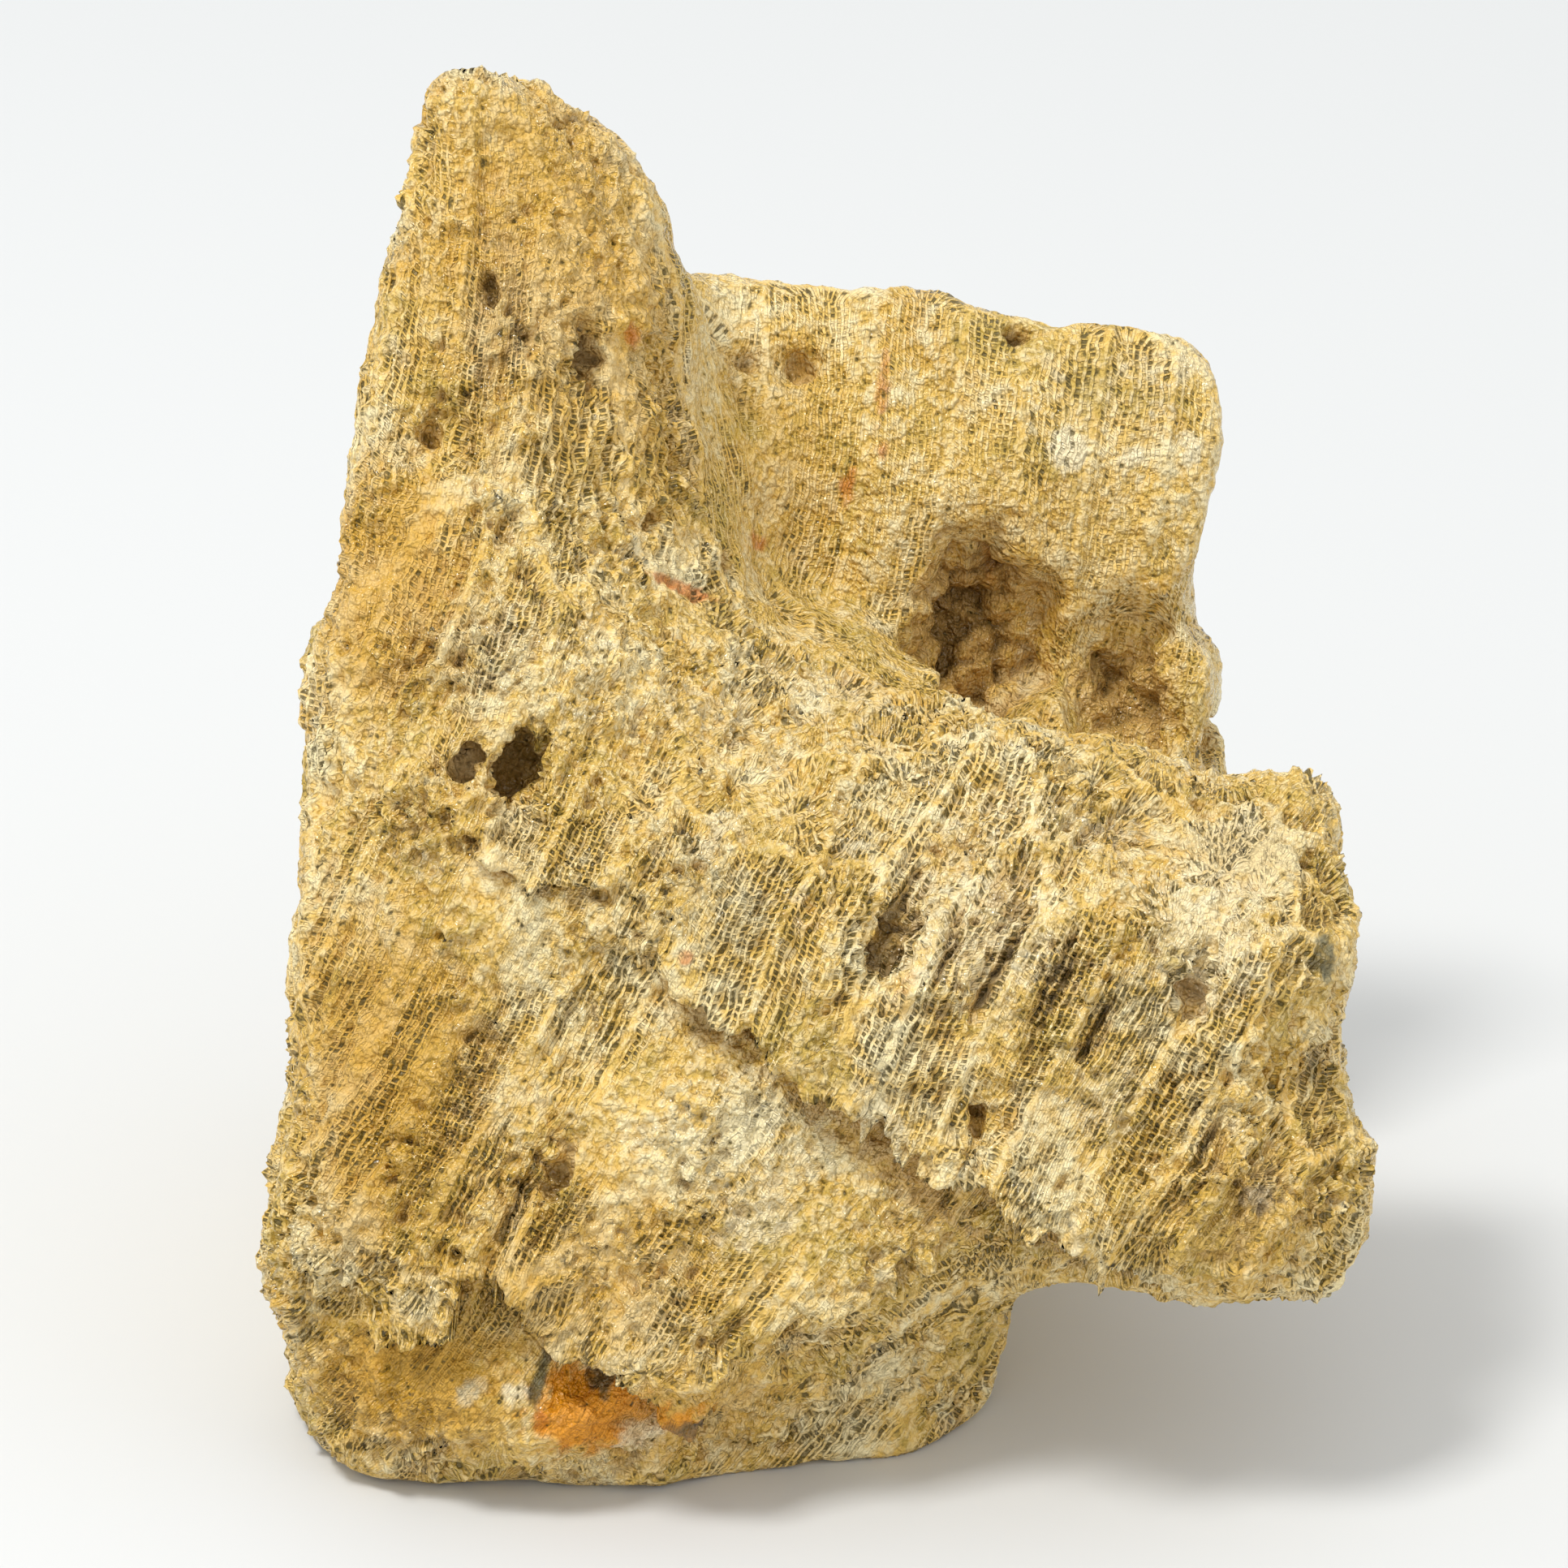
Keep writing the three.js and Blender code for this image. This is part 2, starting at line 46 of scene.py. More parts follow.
bl_info = {
    "name": "Fossil star coral",
    "version": (1, 0, 0),
    "blender": (4, 5, 0),
    "location": "3D View > Sidebar > Coral",
    "description": "Dresses the solid of a fossil coral with its skeleton, pores, stains and wet gloss",
    "category": "Object",
}

MM = 0.001
FACE_LEAN = math.radians(25)
FACE_MIDDLE = np.array([-1.4, -20.3, 45.5])
VIEW_DISTANCE = 420.0  # millimetres from the camera to the middle of the face
VIEW_WIDTH = 96.6  # millimetres across the camera's view at that distance

# The face plane's directions in the part's frame: right, up and towards the camera.
FACE_RIGHT = np.array([1.0, 0.0, 0.0])
FACE_UP = np.array([0.0, math.sin(FACE_LEAN), math.cos(FACE_LEAN)])
FACE_OUT = np.array([0.0, -math.cos(FACE_LEAN), math.sin(FACE_LEAN)])

# The polyp tubes grew up and to the right across the face, and turned more upright as the colony rose. Across the
# face a tube drifts right by this much for each millimetre up, less this much for each millimetre squared.
TUBE_DRIFT = 0.51
TUBE_TURN = 0.00525
TUBE_LEVEL = 10.0  # the drift is measured from this far below the middle of the face
TUBE_SLANT = 0.4  # how much a place counts as further along the tubes for each millimetre right

# How much the colony's coordinates are drawn together across the tubes and in depth, and the tubes' mean direction.
ACROSS, IN_DEPTH = 0.87, 0.7
MEAN_DRIFT = 0.35
TUBE_WAY = (FACE_UP + MEAN_DRIFT * FACE_RIGHT) / math.hypot(1, MEAN_DRIFT)
TUBE_SIDE = (FACE_RIGHT - MEAN_DRIFT * FACE_UP) / math.hypot(1, MEAN_DRIFT)

# How unevenly the tubes are packed, from 0 to 1.
TUBE_UNEVEN = 0.75

# In a tube broken lengthwise: how the spacing of the plates varies from tube to tube, as shares of the plate spacing,
# and how far, in plates, the wavy and the crumbling noise shift them.
SPACING_LEAST, SPACING_VARIES = 0.85, 0.4
WAVE_SHIFT, SMALL_SHIFT = 1.4, 1.2

# In a tube broken across: how far the wavy noise turns its plates, in radians.
TURN_SHIFT = 0.26

# The skeleton's sections. A plate and a floor are solid up to the first distance from their middle and gone at the
# second, as shares of their spacing, and a tube's wall is, in millimetres.
PLATE_EDGE = (0.17, 0.31)
FLOOR_EDGE = (0.12, 0.3)
WALL_EDGE = (0.06, 0.34)
WALL_SOLID = 0.9
ROW_SEED = 37.0  # spreads the tubes' random shares, so that each row of floors has a number of its own
FLOOR_SHIFT = 1.6  # how far, in storeys, the wavy noise shifts the floors
FLOOR_SOLID = (0.25, 0.85)  # how solid a floor that has broken out is, and a whole one
FLOOR_SHARE = 0.4  # how solid the floors are in the tubes with the fewest, beside those with the most
FLOORS_LOST, TUBES_BARE = (0.1, 0.35), (0.15, 0.6)  # the random shares between which floors and tubes go over

# Sizes of the noises and cells that shape and colour the stone, in millimetres.
BEND_SIZE, BEND_REACH = 34, 5.0  # the colony's slow bends, and how far they reach
WAVES_PER_MM = 0.7  # waviness of single plates
OPEN_SIZE, OPEN_STRETCH = 3.2, 0.28  # patches of open tubes, drawn out along the tubes
CLOUD_SIZE = 7  # clouds of colour, of wet and of rough crust
CRUMBLE_SIZE = 1.1  # crumbs
LUMP_SIZE = 6  # broad lumps
RAGGED_SIZE = 2.2  # ragged breaks
SPONGE_SIZE = 1.3  # sponge-like pits
BEAD_SIZE = 1.9  # rounded crusts, and the growths in the cavity
FINE_SIZE = 0.7  # crushed calcite is finer than 0.1 mm; it is drawn coarser, because it wouldn't show
GRAIN_SIZE = 0.42  # sediment grains are 0.06 to 0.25 mm, and are drawn coarser for the same reason
OPEN_FROM, OPEN_TO = 0.43, 0.54  # the tubes begin to open, and lie quite open, at these values of their noise

# Relief in millimetres. Where there are three numbers they are: all over the stone, more on the broken front, and
# more again in its rough crusts.
TUBE_RELIEF, TUBE_MIDDLE = 0.9, 0.55  # single tubes proud or sunk, about this share
TUBE_RIM, OPEN_RIM = (0.2, 0.8), (0.1, 0.4)  # from a tube's edge to where it is sunk, and where its plates stand
PLATE_FLANK = (0.1, 0.6)  # from a plate's middle, as shares of the plates' spacing
OPEN_SINK, GROOVE_SINK = 0.25, 0.8  # open tubes, and the open grooves
PLATE_RELIEF, PLATE_MIDDLE = (0.08, 0.34, 0.35), 0.4  # all over, more on the front, more in the open grooves
LUMP_RELIEF = 1.2
RAGGED_RELIEF = (0.4, 1.0, 1.5)
CRUMBLE_RELIEF = (0.2, 0.4, 0.6)
BEAD_RELIEF, BEAD_MIDDLE = (0.1, 0.15, 0.35), 0.45
SPONGE_DEPTH, SPONGE_EDGE = (0.1, 0.1, 0.5), (0.5, 0.7)
CRACK_DEPTH, CRACK_WIDTH, CRACK_LEVEL = 0.5, 0.045, 0.03
GROWTH_HEIGHT, GROWTH_ROUND, GROWTH_RAGGED = 1.2, 2.0, 3  # the lumps in the cavity and the recess
ROUGH_FROM, ROUGH_TO = 0.42, 0.6  # crusts turn rough between these values of the cloud noise
SEDIMENT_SMOOTHS = 0.7  # how much of the roughness fine sediment takes away
FRONT_TURN = (-0.1, 0.3)  # the front ends where its slope turns away, between these cosines
FRONT_DEPTH = (-22, -18)  # and this far behind the face plane
LEDGE_RAGGED, LEDGE_STEEP = 4.0, 0.3  # how far a ledge's line wanders, and over what length its step falls
LEDGE_ENDS, LEDGE_LIP = 2, (-0.2, 0.3)  # where its ends fade out, and its overhanging lip begins
BASE_HOLD = 2.5  # the relief fades out over this height above the flat base
BASE_FLAT = 0.12  # what lies lower than this lies on the base

# The stone is broken across its tubes where its normal lies this close to their direction, give or take a share of
# the ragged noise, and it faces forwards or back where it lies closer to that than to the side by this much.
CROSSWISE, CROSSWISE_RAGGED = 0.6, 0.4
FACING_LEAD = 0.1

# How ragged the edges of the spots are, and where, in half-sizes from its middle, a spot begins to fade and is gone.
SPOT_RAGGED = 0.9
PIT_FADE, SPOT_FADE = (0.3, 1.2), (0.35, 1.4)
SPOT_SKIN = 1.5  # millimetres that a spot reaches further into the stone than it is wide
PIT_CLOSES = (0.1, 0.6)  # depths in millimetres over which the open tubes close towards a pit

# How often the solid's faces are divided, and smoothed after the remesh, before they are broken.
DIVISIONS, SMOOTHINGS = 2, 12
WELD_DISTANCE = 1e-6  # metres

# Depths in millimetres at which a hollow's painted shade begins to show and is full: brown, partly the real brown of
# iron in crevices, then dark brown. Between the growths the same painted shade goes by the distance from a growth's
# middle, as a share of their spacing.
HOLLOW_DEPTH = (0.25, 2.0)
SHADE_BETWEEN_GROWTHS, SHADE_BETWEEN_STRENGTH, BETWEEN_RAGGED = (0.35, 0.7), 0.8, 0.5

# Heights in the material's fine relief, in millimetres: the sediment that fills the pores, how far the plates show
# through it, its grains, and the finest unevenness.
FILL_LEVEL, FILL_PLATES, GRAIN_DEPTH, FINE_RELIEF = 0.32, 0.1, 0.32, 0.8
GRAIN_STREWN = 0.5  # millimetres that the crumbling noise moves the grains

# Where the broad clouds of colour are olive, ochre and cream, and how much the relief's noises shift them.
OLIVE_AT, OCHRE_AT, CREAM_AT = 0.66, 0.80, 0.98
SHADE_FINE, SHADE_CRUMBLE, CHALK_CRUMBLE, STAIN_FINE = 0.3, 0.35, 0.5, 0.8

# Layers of colour and gloss: the two values between which a layer fades, and its share at each.
FILM_CLOUDS, PALE_CLOUDS = (0.55, 0.72, 0.55, 0.0), (0.86, 1.02, 0.0, 0.6)
CREAM_EDGES = (0.6, 0.85, 0.0, 0.5)  # by the height of the fine relief, in millimetres
STAINS_AND_SHADE = (0.65, 1.45, 0.0, 0.85)
# painted shade: hollows turn brown and then dark brown with their depth
HOLLOW_BROWN_AND_SHADE, HOLLOW_SHADE = (0.0, 0.35, 0.0, 0.45), (0.2, 1.0, 0.0, 0.7)
# painted shade: the pores, the low places of the fine relief, turn dark olive
PORE_SHADE = (0.35, 0.55, 0.9, 0.0)  # by the same height
WET_ROUGHNESS, BROWN_SHINE = (0.42, 0.52, 0.6, 0.1), (0.3, 0.9, 1.0, 0.4)

FLOOR_HALF = 4.0  # metres from the floor's middle to its edge
SKY, SKY_STRENGTH = "#F4F7FA", 1.0
LIT_PLACE = (0, 0, 0.04)
SOFTBOXES = (  # name, place and width in metres, and power in watts
    ("key_softbox", (-0.30, -0.22, 0.80), 0.20, 4.4),
    ("fill_softbox", (0.6, -0.3, 0.4), 0.6, 0.3),
)
SENSOR = 36  # millimetres across the camera's sensor


def linear(code):
    """An sRGB hex colour as the linear red, green and blue that Blender works with."""
    parts = [int(code[i:i + 2], 16) / 255 for i in (1, 3, 5)]
    return tuple(p / 12.92 if p <= 0.04045 else ((p + 0.055) / 1.055) ** 2.4 for p in parts)


class CoralShape(bpy.types.PropertyGroup):
    tube_width: bpy.props.FloatProperty(
        name="Tube width", description="Distance between neighbouring polyp tubes, in millimetres",
        default=4.6, min=3, max=9)
    septa: bpy.props.IntProperty(
        name="Septa", description="Radial plates of the first cycle in one tube", default=12, min=6, max=24)
    first_radius: bpy.props.FloatProperty(
        name="First radius", description="How far out the second cycle is at half its reach, in millimetres",
        default=0.42, min=0.2, max=2)
    floor_spacing: bpy.props.FloatProperty(
        name="Floor spacing", description="Distance between the thin floors in a tube, in millimetres",
        default=0.39, min=0.2, max=1.5)
    floor_slope: bpy.props.FloatProperty(
        name="Floor slope", description="How far the thin floors rise for each millimetre outwards",
        default=0.6, min=0, max=2)
    plate_spacing: bpy.props.FloatProperty(
        name="Plate spacing", description="Distance between plates in a tube broken lengthwise, in millimetres",
        default=0.45, min=0.2, max=2)
    pore_depth: bpy.props.FloatProperty(
        name="Pore depth", description="How deep the pores between the plates look, in millimetres",
        default=0.3, min=0.05, max=1)
    mesh_step: bpy.props.FloatProperty(
        name="Mesh step", description="Edge of the faces in the stone's mesh",
        default=0.00024, unit="LENGTH", min=0.0002, max=0.002, precision=5)
    sectors: bpy.props.IntProperty(
        name="Sectors", description="Pieces that the stone's mesh is divided into, side by side around its middle",
        default=5, min=1, max=12)


class CoralColours(bpy.types.PropertyGroup):
    ochre: bpy.props.FloatVectorProperty(
        name="Ochre", description="The stone's own yellow", subtype="COLOR", size=3, default=linear("#EAC062"))
    cream: bpy.props.FloatVectorProperty(
        name="Cream", description="Dry edges of the plates", subtype="COLOR", size=3, default=linear("#F6E3AE"))
    olive: bpy.props.FloatVectorProperty(
        name="Olive", description="Weathered yellow-green film", subtype="COLOR", size=3, default=linear("#CAA94E"))
    # painted shade: the pores are darkened with this colour where their shade falls
    pore_shade: bpy.props.FloatVectorProperty(
        name="Pores", description="The dark inside of the pores", subtype="COLOR", size=3, default=linear("#554818"))
    rust: bpy.props.FloatVectorProperty(
        name="Rust", description="Iron stains", subtype="COLOR", size=3, default=linear("#CE7418"))
    # also darkens the inside of the main pit as painted shade
    soot_and_shade: bpy.props.FloatVectorProperty(
        name="Dark film", description="Dark greenish growth", subtype="COLOR", size=3, default=linear("#55533A"))
    grey: bpy.props.FloatVectorProperty(
        name="Grey", description="Grey crust", subtype="COLOR", size=3, default=linear("#B4AF9C"))
    # also laid into hollows by their depth, and under the first ledge's lip, as painted shade
    brown: bpy.props.FloatVectorProperty(
        name="Brown", description="Brown growths in the hollows", subtype="COLOR", size=3, default=linear("#C69C56"))
    # painted shade: pits and hollows turn this dark brown with their depth
    hollow: bpy.props.FloatVectorProperty(
        name="Hollows", description="The brown inside of pits and hollows", subtype="COLOR", size=3,
        default=linear("#664A1E"))
    orange: bpy.props.FloatVectorProperty(
        name="Orange", description="Orange ochre earth", subtype="COLOR", size=3, default=linear("#EC9600"))
    film: bpy.props.FloatVectorProperty(
        name="Ochre film", description="Thin earthy film", subtype="COLOR", size=3, default=linear("#D2A038"))
    pale: bpy.props.FloatVectorProperty(
        name="Pale", description="Chalky crust", subtype="COLOR", size=3, default=linear("#FBEBC0"))
    floor: bpy.props.FloatVectorProperty(
        name="Floor", description="The pale floor", subtype="COLOR", size=3, default=linear("#D6D6D4"))


def add(tree, kind, inputs=None, **settings):
    """A node with its settings, and each input linked to a socket or set to a value."""
    node = tree.nodes.new(kind)
    for name, value in settings.items():
        setattr(node, name, value)
    for key, value in (inputs or {}).items():
        if isinstance(value, bpy.types.NodeSocket):
            tree.links.new(value, node.inputs[key])
        else:
            node.inputs[key].default_value = value
    return node


MATH, VECTOR, RANGE = "ShaderNodeMath", "ShaderNodeVectorMath", "ShaderNodeMapRange"
NOISE, CELLS = "ShaderNodeTexNoise", "ShaderNodeTexVoronoi"


def growth(tree, place):
    """Where a place in millimetres lies in the colony: a vector across its tubes and along them."""
    middle = add(tree, VECTOR, {0: place, 1: tuple(FACE_MIDDLE)}, operation="SUBTRACT").outputs[0]
    bend = add(tree, NOISE, {"Vector": middle, "Scale": 1 / BEND_SIZE, "Detail": 1.0}).outputs["Color"]
    bend = add(tree, VECTOR, {0: bend, 1: (0.5, 0.5, 0.5)}, operation="SUBTRACT").outputs[0]
    bend = add(tree, VECTOR, {0: bend, "Scale": BEND_REACH}, operation="SCALE").outputs[0]
    bent = add(tree, VECTOR, {0: middle, 1: bend}, operation="ADD").outputs[0]
    right, up, out = (
        add(tree, VECTOR, {0: bent, 1: tuple(way)}, operation="DOT_PRODUCT").outputs["Value"]
        for way in (FACE_RIGHT, FACE_UP, FACE_OUT))
    rise = add(tree, MATH, {0: up, 1: TUBE_LEVEL}, operation="ADD").outputs[0]
    drift = add(tree, MATH, {0: rise, 1: -TUBE_TURN, 2: TUBE_DRIFT}, operation="MULTIPLY_ADD").outputs[0]
    drift = add(tree, MATH, {0: rise, 1: drift}, operation="MULTIPLY").outputs[0]
    side = add(tree, MATH, {0: right, 1: drift}, operation="SUBTRACT").outputs[0]
    side = add(tree, MATH, {0: side, 1: ACROSS}, operation="MULTIPLY").outputs[0]
    depth = add(tree, MATH, {0: out, 1: IN_DEPTH}, operation="MULTIPLY").outputs[0]
    along = add(tree, MATH, {0: right, 1: TUBE_SLANT, 2: up}, operation="MULTIPLY_ADD").outputs[0]
    return add(tree, "ShaderNodeCombineXYZ", {"X": side, "Y": depth, "Z": along}).outputs[0]


def tubes(tree, grown, wave, shape):
    """The polyp tubes at a place in the colony, as sockets: three random shares, radius and count of plates around.

    One field serves the mesh and the material, so the tubes in the relief are the tubes in the bump and the colour.
    """
    across = add(tree, VECTOR, {0: grown, "Scale": 1 / shape.tube_width}, operation="SCALE").outputs[0]
    tube = add(tree, CELLS, {"Vector": across, "Scale": 1.0, "Randomness": TUBE_UNEVEN}, voronoi_dimensions="2D")
    radius = add(tree, MATH, {0: tube.outputs["Distance"], 1: shape.tube_width}, operation="MULTIPLY").outputs[0]
    spoke = add(tree, VECTOR, {0: across, 1: tube.outputs["Position"]}, operation="SUBTRACT").outputs[0]
    spoke = add(tree, "ShaderNodeSeparateXYZ", {0: spoke})
    turn = add(tree, MATH, {0: spoke.outputs["Y"], 1: spoke.outputs["X"]}, operation="ARCTAN2").outputs[0]
    turn = add(tree, MATH, {0: wave, 1: TURN_SHIFT, 2: turn}, operation="MULTIPLY_ADD").outputs[0]
    turn = add(tree, MATH, {0: turn, 1: 1 / math.tau}, operation="MULTIPLY").outputs[0]
    # the plates double in number each time their spacing has doubled outwards
    cycle = add(tree, MATH, {0: radius, 1: shape.first_radius}, operation="DIVIDE").outputs[0]
    cycle = add(tree, MATH, {0: cycle, 1: 2.0}, operation="LOGARITHM").outputs[0]
    cycle = add(tree, MATH, {0: cycle}, operation="FLOOR").outputs[0]
    count = add(tree, MATH, {0: 2.0, 1: cycle}, operation="POWER").outputs[0]
    count = add(tree, MATH, {0: count, 1: float(shape.septa)}, operation="MULTIPLY").outputs[0]
    gap = add(tree, MATH, {0: turn, 1: count}, operation="MULTIPLY").outputs[0]
    return {"tube": tube.outputs["Color"], "radius": radius, "gap": gap}


def faded(tree, distance, edge, solid):
    """A smooth fall from solid to nothing as the distance passes from the first to the second value of edge."""
    return add(tree, RANGE, {"Value": distance, "From Min": edge[0], "From Max": edge[1], "To Min": solid,
                             "To Max": 0.0}, interpolation_type="SMOOTHSTEP").outputs[0]


def lattice(tree, grown, wave, small, edge, broken, shape):
    """How solid the skeleton is at a place in the colony: star-shaped where a tube is broken across, and rows of
    plates with thin floors between them where it is broken lengthwise."""
    parts = tubes(tree, grown, wave, shape)
    across, depth, along = add(tree, "ShaderNodeSeparateXYZ", {0: grown}).outputs
    _, share, vary = add(tree, "ShaderNodeSeparateXYZ", {0: parts["tube"]}).outputs
    crosswise, facing = (add(tree, MATH, {0: part, 1: 0.5}, operation="GREATER_THAN").outputs[0] for part in broken)
    across = add(tree, MATH, {0: across, 1: 1 / ACROSS}, operation="MULTIPLY").outputs[0]
    depth = add(tree, MATH, {0: depth, 1: 1 / IN_DEPTH}, operation="MULTIPLY").outputs[0]
    side = add(tree, "ShaderNodeMix", {"Factor": facing, "A": depth, "B": across}).outputs[0]
    vary = add(tree, MATH, {0: vary, 1: SPACING_VARIES * shape.plate_spacing,
                            2: SPACING_LEAST * shape.plate_spacing}, operation="MULTIPLY_ADD").outputs[0]
    gap = add(tree, MATH, {0: side, 1: vary}, operation="DIVIDE").outputs[0]
    gap = add(tree, MATH, {0: wave, 1: WAVE_SHIFT, 2: gap}, operation="MULTIPLY_ADD").outputs[0]
    gap = add(tree, MATH, {0: small, 1: SMALL_SHIFT, 2: gap}, operation="MULTIPLY_ADD").outputs[0]
    gap = add(tree, "ShaderNodeMix", {"Factor": crosswise, "A": gap, "B": parts["gap"]}).outputs[0]
    near = add(tree, MATH, {0: gap, 1: 0.5}, operation="PINGPONG").outputs[0]
    plates = faded(tree, near, PLATE_EDGE, 1.0)
    # thin floors between neighbouring plates, each row at its own height
    gap = add(tree, MATH, {0: gap}, operation="FLOOR").outputs[0]
    row = add(tree, VECTOR, {0: parts["tube"], "Scale": ROW_SEED}, operation="SCALE").outputs[0]
    row = add(tree, "ShaderNodeCombineXYZ", {"X": gap, "Y": row}).outputs[0]
    row = add(tree, "ShaderNodeTexWhiteNoise", {"Vector": row}, noise_dimensions="2D").outputs[0]
    level = add(tree, MATH, {0: parts["radius"], 1: -shape.floor_slope, 2: along}, operation="MULTIPLY_ADD").outputs[0]
    level = add(tree, MATH, {0: level, 1: 1 / shape.floor_spacing, 2: row}, operation="MULTIPLY_ADD").outputs[0]
    level = add(tree, MATH, {0: wave, 1: FLOOR_SHIFT, 2: level}, operation="MULTIPLY_ADD").outputs[0]
    storey = add(tree, MATH, {0: level}, operation="ROUND").outputs[0]
    storey = add(tree, "ShaderNodeCombineXYZ", {"X": storey, "Y": row}).outputs[0]
    storey = add(tree, "ShaderNodeTexWhiteNoise", {"Vector": storey}, noise_dimensions="2D").outputs[0]
    # some floors have broken out, in some tubes more than in others
    kept = add(tree, RANGE, {"Value": storey, "From Min": FLOORS_LOST[0], "From Max": FLOORS_LOST[1],
                             "To Min": FLOOR_SOLID[0], "To Max": FLOOR_SOLID[1]}).outputs[0]
    whole = add(tree, RANGE, {"Value": share, "From Min": TUBES_BARE[0], "From Max": TUBES_BARE[1],
                              "To Min": FLOOR_SHARE, "To Max": 1.0})
    kept = add(tree, MATH, {0: kept, 1: whole.outputs[0]}, operation="MULTIPLY").outputs[0]
    level = add(tree, MATH, {0: level, 1: 0.5}, operation="PINGPONG").outputs[0]
    floors = faded(tree, level, FLOOR_EDGE, kept)
    wall = faded(tree, edge, WALL_EDGE, WALL_SOLID)
    solid = add(tree, MATH, {0: plates, 1: floors}, operation="MAXIMUM").outputs[0]
    return add(tree, MATH, {0: solid, 1: wall}, operation="MAXIMUM").outputs[0]


def place_in_view(points):
    """Where the camera sees points of the part, in millimetres: [right, up] of the middle of the face."""
    away = points - FACE_MIDDLE
    scale = VIEW_DISTANCE / (VIEW_DISTANCE - away @ FACE_OUT)
    return np.stack([away @ FACE_RIGHT * scale, away @ FACE_UP * scale], axis=1)


def on_stone(tree, right, up):
    """The point of the stone, in millimetres, that the camera sees at this place of its view."""
    eye = FACE_MIDDLE + VIEW_DISTANCE * FACE_OUT
    target = FACE_MIDDLE + right * FACE_RIGHT + up * FACE_UP
    hit = tree.ray_cast(Vector(eye * MM), Vector(target - eye).normalized())[0]
    if hit is None:
        raise RuntimeError(f"nothing of the stone is seen at {right}, {up}")
    return np.array(hit) / MM


def points_of(mesh):
    """The mesh's vertices in millimetres."""
    flat = np.empty(len(mesh.vertices) * 3, dtype=np.float32)
    mesh.vertices.foreach_get("co", flat)
    return flat.reshape(-1, 3).astype(float) / MM


def normals_of(mesh):
    """The normals at the mesh's vertices."""
    flat = np.empty(len(mesh.vertices) * 3, dtype=np.float32)
    mesh.vertex_normals.foreach_get("vector", flat)
    return flat.reshape(-1, 3).astype(float)


def smooth_step(low, high, value):
    """0 below low, 1 above high and a smooth rise between."""
    t = np.clip((value - low) / (high - low), 0, 1)
    return t * t * (3 - 2 * t)


def field_nodes(shape):
    """A node group that stores the colony's fields on the points, and the names it stores them under."""
    tree = bpy.data.node_groups.new("coral_fields", "GeometryNodeTree")
    tree.interface.new_socket("Geometry", in_out="INPUT", socket_type="NodeSocketGeometry")
    tree.interface.new_socket("Geometry", in_out="OUTPUT", socket_type="NodeSocketGeometry")
    mesh = tree.nodes.new("NodeGroupInput").outputs[0]
    place = add(tree, "GeometryNodeInputPosition").outputs[0]
    place = add(tree, VECTOR, {0: place, "Scale": 1 / MM}, operation="SCALE").outputs[0]
    grown = growth(tree, place)
    wave = add(tree, NOISE, {"Vector": place, "Scale": WAVES_PER_MM, "Detail": 2.0, "Roughness": 0.6}).outputs[0]
    # where the tubes lie open, in streaks along them, and where fine sediment fills them
    streak = add(tree, VECTOR, {0: grown, 1: (1.0, 1.0, OPEN_STRETCH)}, operation="MULTIPLY").outputs[0]
    opened = add(tree, NOISE, {"Vector": streak, "Scale": 1 / OPEN_SIZE, "Detail": 3.0, "Roughness": 0.6}).outputs[0]
    opened = add(tree, RANGE, {"Value": opened, "From Min": OPEN_FROM, "From Max": OPEN_TO}).outputs[0]
    parts = tubes(tree, grown, wave, shape)
    across = add(tree, VECTOR, {0: grown, "Scale": 1 / shape.tube_width}, operation="SCALE").outputs[0]
    edge = add(tree, CELLS, {"Vector": across, "Scale": 1.0, "Randomness": TUBE_UNEVEN},
               voronoi_dimensions="2D", feature="DISTANCE_TO_EDGE").outputs["Distance"]
    edge = add(tree, MATH, {0: edge, 1: shape.tube_width}, operation="MULTIPLY").outputs[0]
    cloud = add(tree, NOISE, {"Vector": place, "Scale": 1 / CLOUD_SIZE, "Detail": 4.0, "Roughness": 0.6})
    crumble = add(tree, NOISE, {"Vector": place, "Scale": 1 / CRUMBLE_SIZE, "Detail": 2.0})
    lumps = add(tree, NOISE, {"Vector": place, "Scale": 1 / LUMP_SIZE, "Detail": 2.0})
    ragged = add(tree, NOISE, {"Vector": place, "Scale": 1 / RAGGED_SIZE, "Detail": 3.0, "Roughness": 0.6})
    sponge = add(tree, CELLS, {"Vector": place, "Scale": 1 / SPONGE_SIZE})
    beads = add(tree, CELLS, {"Vector": place, "Scale": 1 / BEAD_SIZE})
    stored = {
        "grown": grown, "wave": wave, "opened": opened, "edge": edge, "tube": parts["tube"], "gap": parts["gap"],
        "cloud": cloud.outputs["Color"], "crumble": crumble.outputs["Color"], "lumps": lumps.outputs[0],
        "ragged": ragged.outputs[0], "sponge": sponge.outputs["Distance"], "beads": beads.outputs["Distance"],
    }
    for name, value in stored.items():
        kind = "FLOAT" if value.type == "VALUE" else "FLOAT_VECTOR"
        store = add(tree, "GeometryNodeStoreNamedAttribute", {"Geometry": mesh, "Name": name},
                    data_type=kind, domain="POINT")
        tree.links.new(value, store.inputs["Value"])
        mesh = store.outputs[0]
    add(tree, "NodeGroupOutput", {0: mesh})
    return tree, list(stored)


def fields_of(mesh, names):
    """The named attributes of the mesh's points: numbers, or rows of three."""
    fields = {}
    for name in names:
        data = mesh.attributes[name].data
        wide = mesh.attributes[name].data_type == "FLOAT_VECTOR"
        flat = np.empty(len(data) * (3 if wide else 1), dtype=np.float32)
        data.foreach_get("vector" if wide else "value", flat)
        fields[name] = flat.reshape(-1, 3).astype(float) if wide else flat.astype(float)
    return fields


